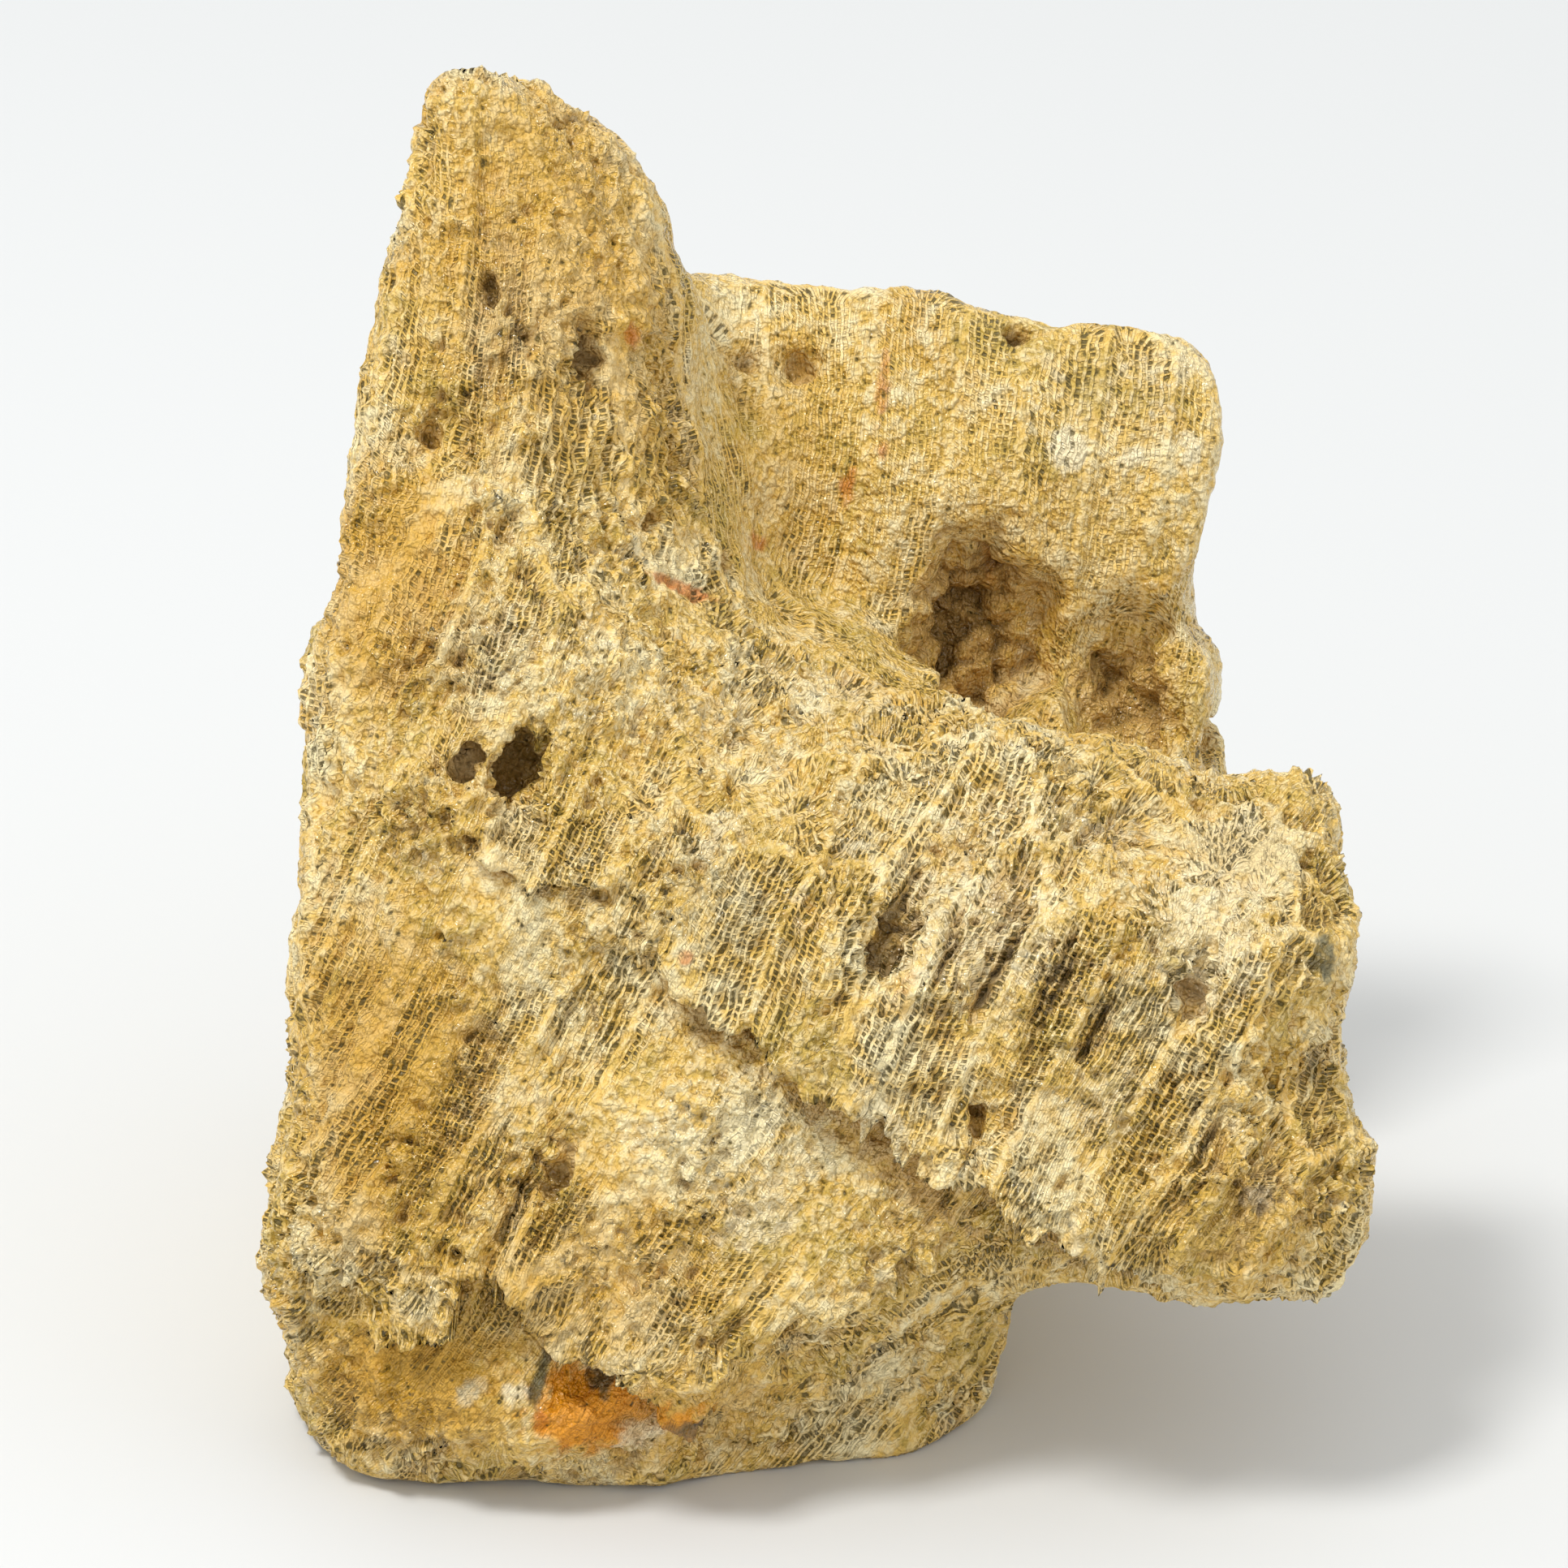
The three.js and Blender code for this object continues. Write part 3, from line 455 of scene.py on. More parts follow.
def distance_to(line, places):
    """How far places in the view lie from a line of points: the distance, + above the line and - below it."""
    best = np.full(len(places), np.inf)
    signed = np.zeros(len(places))
    for start, end in zip(np.array(line[:-1]), np.array(line[1:])):
        way = end - start
        away = places - start
        t = np.clip(away @ way / (way @ way), 0, 1)
        gap = np.linalg.norm(away - t[:, None] * way, axis=1)
        sign = np.where(way[0] * away[:, 1] - way[1] * away[:, 0] > 0, 1.0, -1.0)
        nearer = gap < best
        best = np.where(nearer, gap, best)
        signed = np.where(nearer, gap * sign, signed)
    return signed


# Broken edges across the face, from left to right. The stone above a line juts out over the stone below it.
LEDGES = [
    {"line": [(-7.3, -12), (-4.3, -13.7), (-0.8, -15.3), (3.5, -18.7), (6.7, -21), (10.2, -23.3), (13.7, -25.6),
              (18.2, -27.7), (21.7, -29.7)], "lift": 1.5, "reach": 2.2, "hang": 1.3},
    {"line": [(-25, -33.6), (-20.6, -32.1), (-19.4, -30.3), (-17.7, -29.8), (-15.4, -32.7), (-13.2, -33.9),
              (-9.9, -35), (-7.2, -37.8), (-4.8, -37.7)], "lift": 1.5, "reach": 1.6, "hang": 1.5},
    {"line": [(-20.3, -3.2), (-18.3, -4.9), (-16.3, -6.2), (-10.3, -6.2)], "lift": 0.7, "reach": 1.6, "hang": 0.5},
]

# Spots on the stone by what is there, some of them painted shade: the place in the view [right, up], half-sizes
# [right, up], turn in degrees and how strong it is. The strength of a pit or of a raised spot is its depth or height
# in millimetres.
SPOTS = {
    "pit": [  # holes
        ((-16.1, 1.5), (1.5, 2.9), -24, 1.8), ((-19.4, 1.4), (0.8, 1.4), -20, 1.4), ((1.1, 25.7), (1.3, 1.0), 0, 1.1),
        ((-2.1, 26.1), (1.1, 0.8), 0, 0.7), ((14.7, 27.7), (1.6, 0.8), -10, 1.5), ((-7.7, 16.5), (0.8, 1.1), 0, 1.4),
        ((-6.5, 19.7), (0.5, 0.8), 0, 1.2), ((-3.3, 13.8), (0.8, 0.8), 0, 1.2),
        ((-13.8, -23.7), (0.7, 3.0), -26, 1.3), ((25.2, -12.7), (0.8, 1.5), -14, 0.7),
        ((-28.6, -0.4), (1.0, 1.0), 0, 0.5), ((11.9, -20.4), (0.6, 0.9), -20, 1.2),
        ((-12.2, 26.3), (1.2, 1.9), -10, 1.7), ((-18.2, 30.6), (0.8, 1.4), 0, 1.4),
        ((-21.8, 21.6), (0.8, 1.4), 0, 1.4), ((-15.6, 26.8), (0.6, 1.6), 8, 1.0), ((6.3, -9.3), (0.7, 2.6), -26, 1.0),
        ((-13.2, 41.8), (2.6, 2.4), 0, 0.7),
    ],
    "open": [  # grooves where the tubes lie bare
        ((6.4, -9.8), (1.5, 5.4), -26, 1.0), ((9.3, -10.1), (0.9, 3.0), -27, 1.0),
        ((13.6, -11.8), (1.0, 3.2), -32, 1.0), ((16.5, -12.9), (1.1, 4.0), -26, 1.0),
        ((19.0, -14.9), (0.9, 2.4), -24, 1.0), ((23.4, -18.3), (0.9, 2.2), -25, 1.0),
        ((25.8, -20.6), (0.9, 2.6), -19, 1.0), ((-15.3, -27.0), (2.4, 5.6), -24, 1.0),
        ((-9.5, -28.5), (1.6, 4.4), -30, 1.0), ((-20.5, 9.5), (1.2, 3.4), -12, 0.8),
    ],
    "filled": [  # fine sediment
        ((3.0, -25.0), (7.0, 6.5), 20, 1.0), ((-3.0, -17.5), (5.0, 2.4), -25, 0.9),
        ((-12.0, -39.0), (14.0, 4.5), 0, 1.0), ((29.0, -28.0), (4.0, 3.5), 0, 0.7),
        ((-14.0, 37.0), (8.0, 8.0), -10, 0.9), ((-23.0, -8.0), (6.0, 5.0), 0, 0.8),
        ((11.4, 9.8), (5.6, 8.4), -4, 1.0), ((21.2, 5.6), (5.4, 6.0), 8, 0.9), ((6.0, 22.0), (12.0, 8.0), 0, 0.55),
        ((22.0, 17.0), (8.0, 9.0), 0, 0.6), ((-25.0, 12.0), (6.0, 12.0), 0, 0.5), ((-9.0, 6.0), (7.0, 5.0), -20, 0.6),
    ],
    "rough": [  # crumbling crusts
        ((10.0, -21.0), (14.0, 3.5), -38, 1.0), ((27.5, -22.0), (6.0, 7.0), 0, 0.9),
        ((-20.0, -30.5), (8.0, 3.5), 0, 0.8), ((-8.0, 5.0), (5.0, 4.0), 0, 0.6),
    ],
    "raised": [  # the horn's tip
        ((-18.9, 42.2), (3.4, 2.4), 0, 1.2),
    ],
    "rust": [  # iron stains
        ((-9.3, 27.7), (0.5, 1.1), 0, 0.8), ((6.1, 24.5), (0.6, 3.3), -6, 0.75), ((3.9, 18.5), (0.6, 1.7), -12, 0.85),
        ((-1.7, 14.9), (1.0, 0.9), 0, 0.8), ((6.1, 20.5), (0.7, 0.9), 0, 0.8), ((-6.1, 12.1), (3.4, 0.5), -20, 0.9),
        ((-6.0, -10.2), (0.5, 0.5), 0, 0.8), ((12.6, 13.6), (0.5, 1.4), 10, 0.7),
        ((-15.1, -39.3), (0.8, 1.0), 0, 0.7),
    ],
    "soot_and_shade": [  # dark film
        ((-15.1, -36.7), (0.6, 2.3), -14, 1.2), ((-11.4, -36.6), (0.8, 1.7), 30, 1.1),
        ((-29.3, -32.7), (1.6, 4.4), 0, 0.5), ((33.4, -10.7), (0.9, 2.2), 0, 0.9),
        ((33.2, -17.5), (0.7, 1.6), 0, 0.8), ((-6.0, -37.9), (2.0, 0.6), -10, 0.9),
        # the last spot in this row darkens the main pit's inside: painted shade
        ((15.0, 22.0), (1.0, 1.2), 0, 0.5), ((12.6, 14.6), (3.6, 1.4), 12, 0.5), ((-16.2, 1.2), (1.3, 2.4), -24, 0.3),
        ((-23.0, -38.5), (8.0, 4.0), 0, 0.42), ((-4.0, -6.5), (7.0, 4.5), -20, 0.42),
    ],
    "grey": [
        ((22.8, 24.2), (2.6, 2.8), 0, 0.45), ((4.7, -3.7), (2.0, 1.5), 0, 0.5), ((-22.8, -5.0), (2.6, 1.4), -20, 0.5),
        ((29.7, -25.7), (1.6, 1.4), 0, 0.8), ((-12.5, 4.5), (2.2, 1.2), -20, 0.5), ((20.7, -2.5), (3.0, 1.4), 0, 0.5),
    ],
    "growth": [  # lumps that grow in the cavity and the recess
        ((11.0, 9.4), (4.4, 7.2), -4, 1.2), ((21.2, 5.6), (4.0, 4.8), 8, 0.9),
    ],
    "brown": [
        ((11.0, 9.8), (4.4, 7.4), -4, 1.1), ((21.2, 5.6), (4.2, 4.6), 8, 1.0), ((-15.0, -19.5), (4.5, 3.5), -20, 0.4),
        # the second spot on this line and the first on the next lie under the first ledge's lip: a painted shadow
        ((25.2, -12.7), (1.0, 1.7), -14, 0.9), ((7.0, -24.0), (10.0, 1.5), -38, 0.8),
        ((17.0, -28.6), (6.0, 1.5), -26, 0.8), ((-6.2, 21.0), (1.8, 5.0), 8, 0.45),
        ((-7.8, 31.5), (1.6, 4.5), 12, 0.4),
    ],
    "orange": [
        ((-11.1, -38.6), (5.2, 3.6), -6, 1.5), ((-7.0, -38.2), (2.8, 1.3), 20, 1.3),
        ((7.5, -12.2), (0.9, 1.6), -26, 0.5), ((28.0, -29.0), (4.0, 1.8), 0, 0.3), ((1.2, -7.6), (2.4, 2.0), 0, 0.4),
        ((-25.5, -17.0), (2.4, 5.0), 0, 0.2),
    ],
    "film": [
        ((-15.0, 33.0), (8.0, 14.0), -10, 0.6), ((-9.0, 27.0), (4.0, 11.0), 12, 0.5),
        ((-24.5, 13.0), (6.0, 9.0), 0, 0.75), ((-24.5, -18.0), (7.0, 12.0), 0, 0.75),
        ((-12.0, -30.0), (10.0, 5.5), 0, 0.5), ((28.0, -4.5), (4.0, 3.0), 0, 0.3),
        ((-23.0, -37.0), (8.0, 5.0), 0, 1.0), ((-8.0, -38.5), (9.0, 4.0), 0, 0.8), ((0.5, 20.0), (3.0, 7.0), 0, 0.35),
        ((12.0, 10.0), (6.0, 9.0), 0, 0.5), ((-19.0, -1.0), (5.0, 5.0), 0, 0.25), ((28.0, -27.0), (6.0, 5.0), 0, 0.3),
        ((10.5, -4.2), (2.4, 1.4), 0, 0.4),
    ],
    "pale": [  # chalky crust
        ((-8.6, -40.6), (2.4, 1.2), 20, 0.9), ((-16.6, -37.6), (1.2, 1.0), 30, 0.9),
        ((-11.7, -35.8), (1.2, 0.9), -20, 1.0), ((12.0, -9.0), (8.0, 6.0), -25, 0.7),
        ((26.0, -9.0), (5.0, 7.0), -20, 0.7), ((16.0, -2.5), (8.0, 3.0), -10, 0.6),
        ((3.5, 5.5), (6.0, 3.5), -35, 0.6), ((-19.4, -37.5), (1.5, 1.0), 40, 0.7),
        ((-1.8, -26.7), (3.6, 2.8), 30, 0.7), ((5.7, -20.2), (3.0, 1.8), -30, 0.7),
        ((17.5, 20.5), (1.7, 1.6), 0, 1.2), ((21.6, 20.0), (1.2, 0.9), 0, 0.9), ((20.0, 21.0), (6.5, 7.0), 0, 0.45),
        ((-13.5, 9.5), (6.0, 3.0), -20, 0.45), ((1.0, -21.5), (5.0, 3.5), -25, 0.4),
        ((25.1, 20.7), (0.9, 1.6), 0, 0.9), ((-9.4, 14.6), (0.9, 3.2), -34, 0.6),
        ((20.0, -19.5), (2.6, 3.4), -20, 0.6), ((14.8, 8.0), (0.9, 6.0), -4, 0.5), ((25.5, 14.0), (3.0, 8.0), 0, 0.5),
        ((-4.0, 4.0), (6.0, 3.0), -30, 0.5), ((-3.0, -22.0), (7.0, 5.0), -25, 0.5),
        ((-7.5, -21.5), (2.0, 3.0), -20, 0.5),
    ],
}


def spread_of(tree, points, at, half, turn):
    """How far points lie from a spot's middle, as a share of its half-sizes."""
    away = points - on_stone(tree, *at)
    right, up, out = away @ FACE_RIGHT, away @ FACE_UP, away @ FACE_OUT
    angle = math.radians(turn)
    across = right * math.cos(angle) + up * math.sin(angle)
    along = up * math.cos(angle) - right * math.sin(angle)
    return np.sqrt((across / half[0]) ** 2 + (along / half[1]) ** 2 + (out / (max(half) + SPOT_SKIN)) ** 2)


def spots_on(tree, points, fields):
    """How strongly each kind of spot is felt at the points."""
    ragged = (fields["ragged"] - 0.5) * SPOT_RAGGED + (fields["crumble"][:, 0] - 0.5) * SPOT_RAGGED
    felt = {}
    for kind, spots in SPOTS.items():
        fade = PIT_FADE if kind == "pit" else SPOT_FADE
        felt[kind] = np.zeros(len(points))
        for at, half, turn, strength in spots:
            reach = spread_of(tree, points, at, half, turn) + ragged
            felt[kind] = np.maximum(felt[kind], strength * (1 - smooth_step(*fade, reach)))
    return felt


def sections(normals, fields, shape):
    """Where the stone is broken across its tubes, where it faces forwards or back, and the count of plates there."""
    across = np.abs(normals @ TUBE_WAY) + (fields["ragged"] - 0.5) * CROSSWISE_RAGGED
    crosswise = (across > CROSSWISE).astype(float)
    facing = (np.abs(normals @ TUBE_SIDE) < np.abs(normals @ FACE_OUT) + FACING_LEAD).astype(float)
    side = np.where(facing, fields["grown"][:, 0] / ACROSS, fields["grown"][:, 1] / IN_DEPTH)
    spacing = shape.plate_spacing * (SPACING_LEAST + SPACING_VARIES * fields["tube"][:, 2])
    lengthwise = side / spacing + fields["wave"] * WAVE_SHIFT + fields["crumble"][:, 1] * SMALL_SHIFT
    return crosswise, facing, np.where(crosswise, fields["gap"], lengthwise)


def carve(points, normals, fields, felt):
    """The points moved out and in along their normals: tubes, ragged breaks, ledges and pits. Millimetres."""
    ragged, edge, opened = fields["ragged"] - 0.5, fields["edge"], fields["opened"]
    # each tube lies a little proud or open, and its wall and every second of its plates stand between
    inside = smooth_step(*TUBE_RIM, edge)
    tube = (fields["tube"][:, 0] - TUBE_MIDDLE) * TUBE_RELIEF - OPEN_SINK * opened - GROOVE_SINK * felt["open"]
    gap = fields["gap"] % 2
    plates = 1 - smooth_step(*PLATE_FLANK, np.minimum(gap, 2 - gap))
    # crusts lie rough in some places and worn smooth in others
    rough = np.maximum(smooth_step(ROUGH_FROM, ROUGH_TO, fields["cloud"][:, 2]), felt["rough"])
    rough *= 1 - SEDIMENT_SMOOTHS * felt["filled"]
    seen = place_in_view(points)
    height = (points - FACE_MIDDLE) @ FACE_OUT
    front = smooth_step(*FRONT_TURN, normals @ FACE_OUT) * smooth_step(*FRONT_DEPTH, height)

    def depth_of(relief):
        """A relief's depth: all over the stone, more on its broken front, and more again in the rough crusts."""
        return relief[0] + (relief[1] + relief[2] * rough) * front

    everywhere, on_front, in_grooves = PLATE_RELIEF
    plate_relief = everywhere + on_front * front + in_grooves * felt["open"]
    out = tube * inside
    out += opened * smooth_step(*OPEN_RIM, edge) * (plates - PLATE_MIDDLE) * plate_relief
    out += (fields["lumps"] - 0.5) * LUMP_RELIEF + ragged * depth_of(RAGGED_RELIEF)
    out += (fields["crumble"][:, 0] - 0.5) * depth_of(CRUMBLE_RELIEF)
    out += (1 - opened) * depth_of(BEAD_RELIEF) * (BEAD_MIDDLE - fields["beads"] ** 2)
    out -= (1 - opened) * depth_of(SPONGE_DEPTH) * smooth_step(*SPONGE_EDGE, 1 - fields["sponge"])
    # cracks around the crusts
    out -= CRACK_DEPTH * rough * front * (1 - smooth_step(0.0, CRACK_WIDTH, np.abs(ragged - CRACK_LEVEL)))
    out += felt["growth"] * (GROWTH_HEIGHT - fields["beads"] * GROWTH_ROUND + ragged * GROWTH_RAGGED)
    shift = np.zeros_like(points)
    for ledge in LEDGES:
        line = ledge["line"]
        away = distance_to(line, seen) + ragged * LEDGE_RAGGED
        first, last = line[0][0], line[-1][0]
        ends = smooth_step(first - LEDGE_ENDS, first + LEDGE_ENDS, seen[:, 0])
        ends *= 1 - smooth_step(last - LEDGE_ENDS, last + LEDGE_ENDS, seen[:, 0])
        near = np.exp(-np.abs(away) / ledge["reach"]) * front * ends
        out += ledge["lift"] * np.tanh(away / LEDGE_STEEP) * near
        lip = near * smooth_step(*LEDGE_LIP, away)
        shift -= FACE_UP * (ledge["hang"] * lip)[:, None]
    out += felt["raised"] - felt["pit"]
    keep = smooth_step(0, BASE_HOLD, points[:, 2])
    moved = points + (normals * out[:, None] + shift) * keep[:, None]
    moved[:, 2] = np.where(moved[:, 2] < BASE_FLAT, 0, moved[:, 2])
    return moved, out


def with_modifiers(mesh, *modifiers):
    """The mesh after these modifiers, each (kind, settings)."""
    draft = bpy.data.objects.new("draft", mesh)
    bpy.context.scene.collection.objects.link(draft)
    for kind, settings in modifiers:
        modifier = draft.modifiers.new(kind.lower(), kind)
        for name, value in settings.items():
            setattr(modifier, name, value)
    graph = bpy.context.evaluated_depsgraph_get()
    made = bpy.data.meshes.new_from_object(draft.evaluated_get(graph), depsgraph=graph)
    bpy.data.objects.remove(draft)
    return made


def stone_meshes(shape):
    """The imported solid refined, broken and pitted, in sectors with the colony's fields on their points."""
    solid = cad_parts["fossil_coral"].data
    nodes, names = field_nodes(shape)
    mesh = with_modifiers(
        solid.copy(),
        ("WELD", {"merge_threshold": WELD_DISTANCE}),
        ("SUBSURF", {"levels": DIVISIONS}),
        ("REMESH", {"mode": "VOXEL", "voxel_size": shape.mesh_step * 1}),
        ("SMOOTH", {"factor": 0.5, "iterations": SMOOTHINGS}),
        ("NODES", {"node_group": nodes}))
    points, normals, fields = points_of(mesh), normals_of(mesh), fields_of(mesh, names)
    tree = BVHTree.FromPolygons([v.co for v in solid.vertices], [p.vertices for p in solid.polygons])
    felt = spots_on(tree, points, fields)
    closed = np.maximum(felt["filled"], smooth_step(*PIT_CLOSES, felt["pit"]))
    fields["opened"] = np.clip(np.maximum(fields["opened"], felt["open"]) * (1 - closed), 0, 1)
    fields["crosswise"], fields["facing"], fields["gap"] = sections(normals, fields, shape)
    points, out = carve(points, normals, fields, felt)
    mesh.vertices.foreach_set("co", (points * MM).astype(np.float32).ravel())
    mesh.update()
    normals = normals_of(mesh)
    kept = {name: fields[name] for name in (
        "grown", "wave", "opened", "edge", "crosswise", "facing", "cloud", "crumble")}
    # painted shade: hollows darken with their depth below the surface, and the gaps between the cavity's growths
    # darken too
    from_growth = fields["beads"] + (fields["ragged"] - 0.5) * BETWEEN_RAGGED
    shade_between_growths = felt["growth"] * SHADE_BETWEEN_STRENGTH * smooth_step(*SHADE_BETWEEN_GROWTHS, from_growth)
    kept["sunk"], kept["film"] = np.maximum(smooth_step(*HOLLOW_DEPTH, -out), shade_between_growths), felt["film"]
    kept["stains"] = np.stack([felt["rust"], felt["soot_and_shade"], felt["grey"]], axis=1)
    kept["earths_and_shade"] = np.stack([felt["brown"], felt["orange"], felt["pale"]], axis=1)
    corners = np.empty(len(mesh.loops), dtype=np.int32)
    mesh.loops.foreach_get("vertex_index", corners)
    quads = corners.reshape(-1, 4)
    middles = points[quads].mean(axis=1)
    angle = np.arctan2(middles[:, 0], middles[:, 1])
    bounds = np.quantile(angle, np.arange(1, shape.sectors) / shape.sectors)
    sector = np.searchsorted(bounds, angle)
    return [part_of(points, normals, quads[sector == n], kept) for n in range(shape.sectors)]


def part_of(points, normals, quads, fields):
    """A mesh of some of the faces, with the whole stone's normals and fields on its points."""
    used, corners = np.unique(quads, return_inverse=True)
    mesh = bpy.data.meshes.new("coral_stone")
    mesh.vertices.add(len(used))
    mesh.vertices.foreach_set("co", (points[used] * MM).astype(np.float32).ravel())
    mesh.loops.add(corners.size)
    mesh.loops.foreach_set("vertex_index", corners.astype(np.int32).ravel())
    mesh.polygons.add(len(quads))
    mesh.polygons.foreach_set("loop_start", np.arange(0, corners.size, 4, dtype=np.int32))
    mesh.update(calc_edges=True)
    mesh.shade_smooth()
    mesh.normals_split_custom_set_from_vertices(normals[used])
    for name, values in fields.items():
        kind, key = ("FLOAT", "value") if values.ndim == 1 else ("FLOAT_VECTOR", "vector")
        stored = mesh.attributes.new(name, kind, "POINT")
        stored.data.foreach_set(key, values[used].astype(np.float32).ravel())
    return mesh


class CORAL_OT_stone(bpy.types.Operator):
    """Build the fossil coral's stone"""
    bl_idname = "coral.stone"
    bl_label = "Stone"

    def execute(self, context):
        shape = context.scene.coral_shape
        material = weathered_coral(shape, context.scene.coral_colours)
        for number, mesh in enumerate(stone_meshes(shape), start=1):
            mesh.materials.append(material)
            piece = bpy.data.objects.new(f"coral_stone_{number}", mesh)
            context.scene.collection.objects.link(piece)
            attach(piece, "root")
            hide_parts("fossil_coral")
        return {"FINISHED"}


def weathered_coral(shape, colours):
    """Recrystallised coral limestone, broken by hand and weathered, half wet.

    Its surface is a spongy lattice of thin plates: dry plate edges are cream, the pores between them are painted dark
    as their shade, hollows get painted brown shade, and a film of water gives some patches small sharp highlights over
    a dull stone.
    """
    material = bpy.data.materials.new("coral_limestone_weathered")
    material.use_nodes = True
    tree = material.node_tree
    tree.nodes.clear()

    def colour_mix(share, first, second):
        """Two colours, sockets or values, mixed by a share."""
        first, second = (c if isinstance(c, bpy.types.NodeSocket) else (*c, 1) for c in (first, second))
        return add(tree, "ShaderNodeMix", {"Factor": share, 6: first, 7: second}, data_type="RGBA").outputs[2]

    def between(value, low, high, start, end):
        """A smooth rise from start to end as the value goes from low to high."""
        return add(tree, RANGE, {"Value": value, "From Min": low, "From Max": high, "To Min": start, "To Max": end},
                   interpolation_type="SMOOTHSTEP").outputs[0]

    place = add(tree, "ShaderNodeTexCoord").outputs["Object"]
    place = add(tree, VECTOR, {0: place, "Scale": 1 / MM}, operation="SCALE").outputs[0]
    grown, cloud, crumble, stains, earths_and_shade = (
        add(tree, "ShaderNodeAttribute", attribute_name=name).outputs["Vector"]
        for name in ("grown", "cloud", "crumble", "stains", "earths_and_shade"))
    wave, opened, edge, crosswise, facing, sunk, film = (
        add(tree, "ShaderNodeAttribute", attribute_name=name).outputs["Fac"]
        for name in ("wave", "opened", "edge", "crosswise", "facing", "sunk", "film"))
    warm, chalky, wet = add(tree, "ShaderNodeSeparateXYZ", {0: cloud}).outputs
    brown = add(tree, "ShaderNodeSeparateXYZ", {0: earths_and_shade}).outputs[0]
    small = add(tree, "ShaderNodeSeparateXYZ", {0: crumble}).outputs
    skeleton = lattice(tree, grown, wave, small[1], edge, (crosswise, facing), shape)
    fine = add(tree, NOISE, {"Vector": place, "Scale": 1 / FINE_SIZE, "Detail": 2.0, "Roughness": 0.62}).outputs[0]
    strewn = add(tree, VECTOR, {0: crumble, 1: (GRAIN_STREWN,) * 3, 2: place}, operation="MULTIPLY_ADD").outputs[0]
    grain = add(tree, CELLS, {"Vector": strewn, "Scale": 1 / GRAIN_SIZE}).outputs["Distance"]
    # heights in millimetres: the open lattice, and the sediment and crushed plates that fill it elsewhere
    hollow = add(tree, MATH, {0: skeleton, 1: shape.pore_depth}, operation="MULTIPLY").outputs[0]
    filled = add(tree, MATH, {0: skeleton, 1: FILL_PLATES, 2: FILL_LEVEL}, operation="MULTIPLY_ADD").outputs[0]
    grain = add(tree, MATH, {0: grain, 1: 2.0}, operation="POWER").outputs[0]
    filled = add(tree, MATH, {0: grain, 1: -GRAIN_DEPTH, 2: filled}, operation="MULTIPLY_ADD").outputs[0]
    height = add(tree, "ShaderNodeMix", {"Factor": opened, "A": filled, "B": hollow}).outputs[0]
    height = add(tree, MATH, {0: fine, 1: FINE_RELIEF, 2: height}, operation="MULTIPLY_ADD").outputs[0]
    bump = add(tree, "ShaderNodeBump", {"Strength": 1.0, "Distance": MM, "Height": height})
    # the broad colour: olive, ochre and cream clouds, broken up by the fine relief
    shade = add(tree, MATH, {0: fine, 1: SHADE_FINE, 2: warm}, operation="MULTIPLY_ADD").outputs[0]
    shade = add(tree, MATH, {0: small[1], 1: SHADE_CRUMBLE, 2: shade}, operation="MULTIPLY_ADD").outputs[0]
    ramp = add(tree, "ShaderNodeValToRGB", {"Fac": shade})
    stops = ramp.color_ramp.elements
    stops[0].position, stops[0].color = OLIVE_AT, (*colours.olive, 1)
    stops[1].position, stops[1].color = CREAM_AT, (*colours.cream, 1)
    ochre = stops.new(OCHRE_AT)
    ochre.color = (*colours.ochre, 1)
    chalk = add(tree, MATH, {0: small[2], 1: CHALK_CRUMBLE, 2: chalky}, operation="MULTIPLY_ADD").outputs[0]
    body = colour_mix(between(chalk, *FILM_CLOUDS), ramp.outputs[0], colours.film)
    body = colour_mix(between(chalk, *PALE_CLOUDS), body, colours.pale)
    body = colour_mix(between(height, *CREAM_EDGES), body, colours.cream)
    body = colour_mix(film, body, colours.film)
    # stains, and painted shade under the first ledge and in the main pit, with edges that follow the fine relief
    for source, names in ((earths_and_shade, ("brown", "orange", "pale")), (stains, ("rust", "soot_and_shade", "grey"))):
        for share, name in zip(add(tree, "ShaderNodeSeparateXYZ", {0: source}).outputs, names):
            share = add(tree, MATH, {0: fine, 1: STAIN_FINE, 2: share}, operation="MULTIPLY_ADD").outputs[0]
            body = colour_mix(between(share, *STAINS_AND_SHADE), body, getattr(colours, name))
    # painted shade in hollows and between the growths: brown, partly the real brown of iron in crevices, then dark
    # brown
    body = colour_mix(between(sunk, *HOLLOW_BROWN_AND_SHADE), body, colours.brown)
    body = colour_mix(between(sunk, *HOLLOW_SHADE), body, colours.hollow)
    # painted shade: the pores darken to dark olive
    colour = colour_mix(between(height, *PORE_SHADE), body, colours.pore_shade)
    # wet patches are glossy, and so are the brown growths
    rough = add(tree, MATH, {0: between(wet, *WET_ROUGHNESS), 1: between(brown, *BROWN_SHINE)}, operation="MULTIPLY")
    shader = add(tree, "ShaderNodeBsdfPrincipled",
                 {"Base Color": colour, "Roughness": rough.outputs[0], "Normal": bump.outputs[0], "IOR": 1.5})
    add(tree, "ShaderNodeOutputMaterial", {"Surface": shader.outputs[0]})
    return material


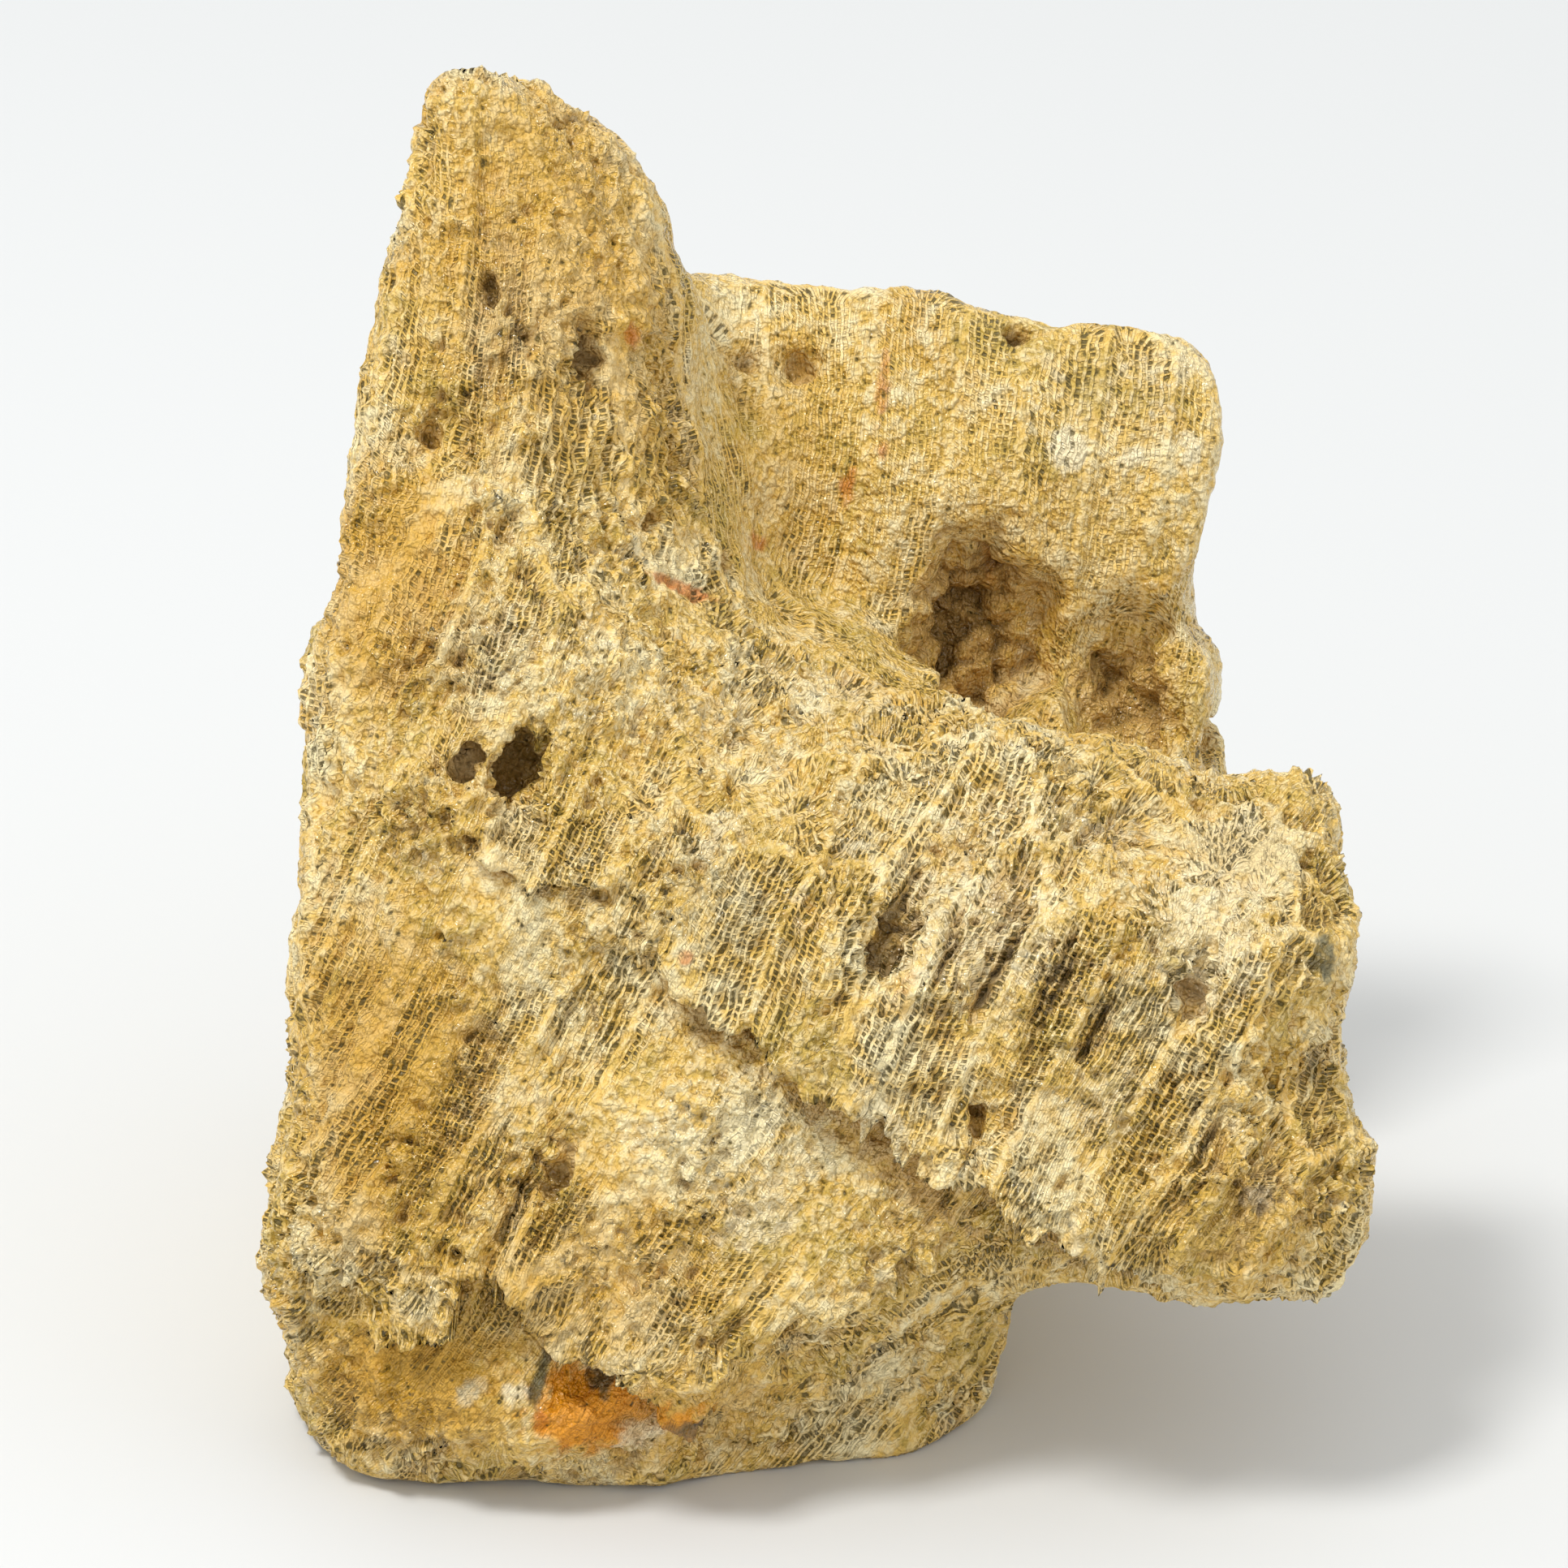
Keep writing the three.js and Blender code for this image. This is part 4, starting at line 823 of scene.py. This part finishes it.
class CORAL_OT_stage(bpy.types.Operator):
    """Set the floor, the soft studio light and the camera"""
    bl_idname = "coral.stage"
    bl_label = "Floor, light and camera"

    def execute(self, context):
        scene = context.scene
        mesh = bpy.data.meshes.new("floor")
        corners = [(x * FLOOR_HALF, y * FLOOR_HALF, 0) for x, y in ((-1, -1), (1, -1), (1, 1), (-1, 1))]
        mesh.from_pydata(corners, [], [(0, 1, 2, 3)])
        floor = bpy.data.objects.new("floor", mesh)
        scene.collection.objects.link(floor)
        # board rolled with matt paint: pale, even and dull, so that it takes a soft shadow and gives no reflection
        material = bpy.data.materials.new("matt_painted_board")
        material.use_nodes = True
        shader = material.node_tree.nodes["Principled BSDF"]
        shader.inputs["Base Color"].default_value = (*scene.coral_colours.floor, 1)
        shader.inputs["Roughness"].default_value = 0.9
        mesh.materials.append(material)

        world = bpy.data.worlds.new("studio")
        world.use_nodes = True
        background = world.node_tree.nodes["Background"]
        background.inputs["Color"].default_value = (*linear(SKY), 1)
        background.inputs["Strength"].default_value = SKY_STRENGTH
        scene.world = world
        for name, place, width, power in SOFTBOXES:
            lamp = bpy.data.lights.new(name, "AREA")
            lamp.shape = "SQUARE"
            lamp.size = width
            lamp.energy = power
            light = bpy.data.objects.new(name, lamp)
            light.location = place
            aim = Vector(LIT_PLACE) - Vector(place)
            light.rotation_euler = aim.to_track_quat("-Z", "Y").to_euler()
            scene.collection.objects.link(light)

        lens = bpy.data.cameras.new("camera")
        lens.sensor_width = SENSOR
        lens.lens = SENSOR * VIEW_DISTANCE / VIEW_WIDTH
        camera = bpy.data.objects.new("camera", lens)
        camera.location = Vector((FACE_MIDDLE + VIEW_DISTANCE * FACE_OUT) * MM)
        camera.rotation_euler = (math.pi / 2 - FACE_LEAN, 0, 0)
        scene.collection.objects.link(camera)
        scene.camera = camera
        scene.view_settings.view_transform = "Standard"
        return {"FINISHED"}


class CORAL_PT_panel(bpy.types.Panel):
    """Lists the steps that build the coral"""
    bl_label = "Fossil coral"
    bl_space_type = "VIEW_3D"
    bl_region_type = "UI"
    bl_category = "Coral"

    def draw(self, context):
        for operator in OPERATORS:
            self.layout.operator(operator.bl_idname)
        for group in (context.scene.coral_shape, context.scene.coral_colours):
            for name in group.__annotations__:
                self.layout.prop(group, name)


OPERATORS = (CORAL_OT_stone, CORAL_OT_stage)
CLASSES = (CoralShape, CoralColours, *OPERATORS, CORAL_PT_panel)


def register():
    for cls in CLASSES:
        bpy.utils.register_class(cls)
    bpy.types.Scene.coral_shape = bpy.props.PointerProperty(type=CoralShape)
    bpy.types.Scene.coral_colours = bpy.props.PointerProperty(type=CoralColours)


def unregister():
    del bpy.types.Scene.coral_colours
    del bpy.types.Scene.coral_shape
    for cls in reversed(CLASSES):
        bpy.utils.unregister_class(cls)


def main():
    """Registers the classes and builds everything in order."""
    register()
    bpy.ops.coral.stone()
    bpy.ops.coral.stage()


if __name__ == "__main__":
    main()
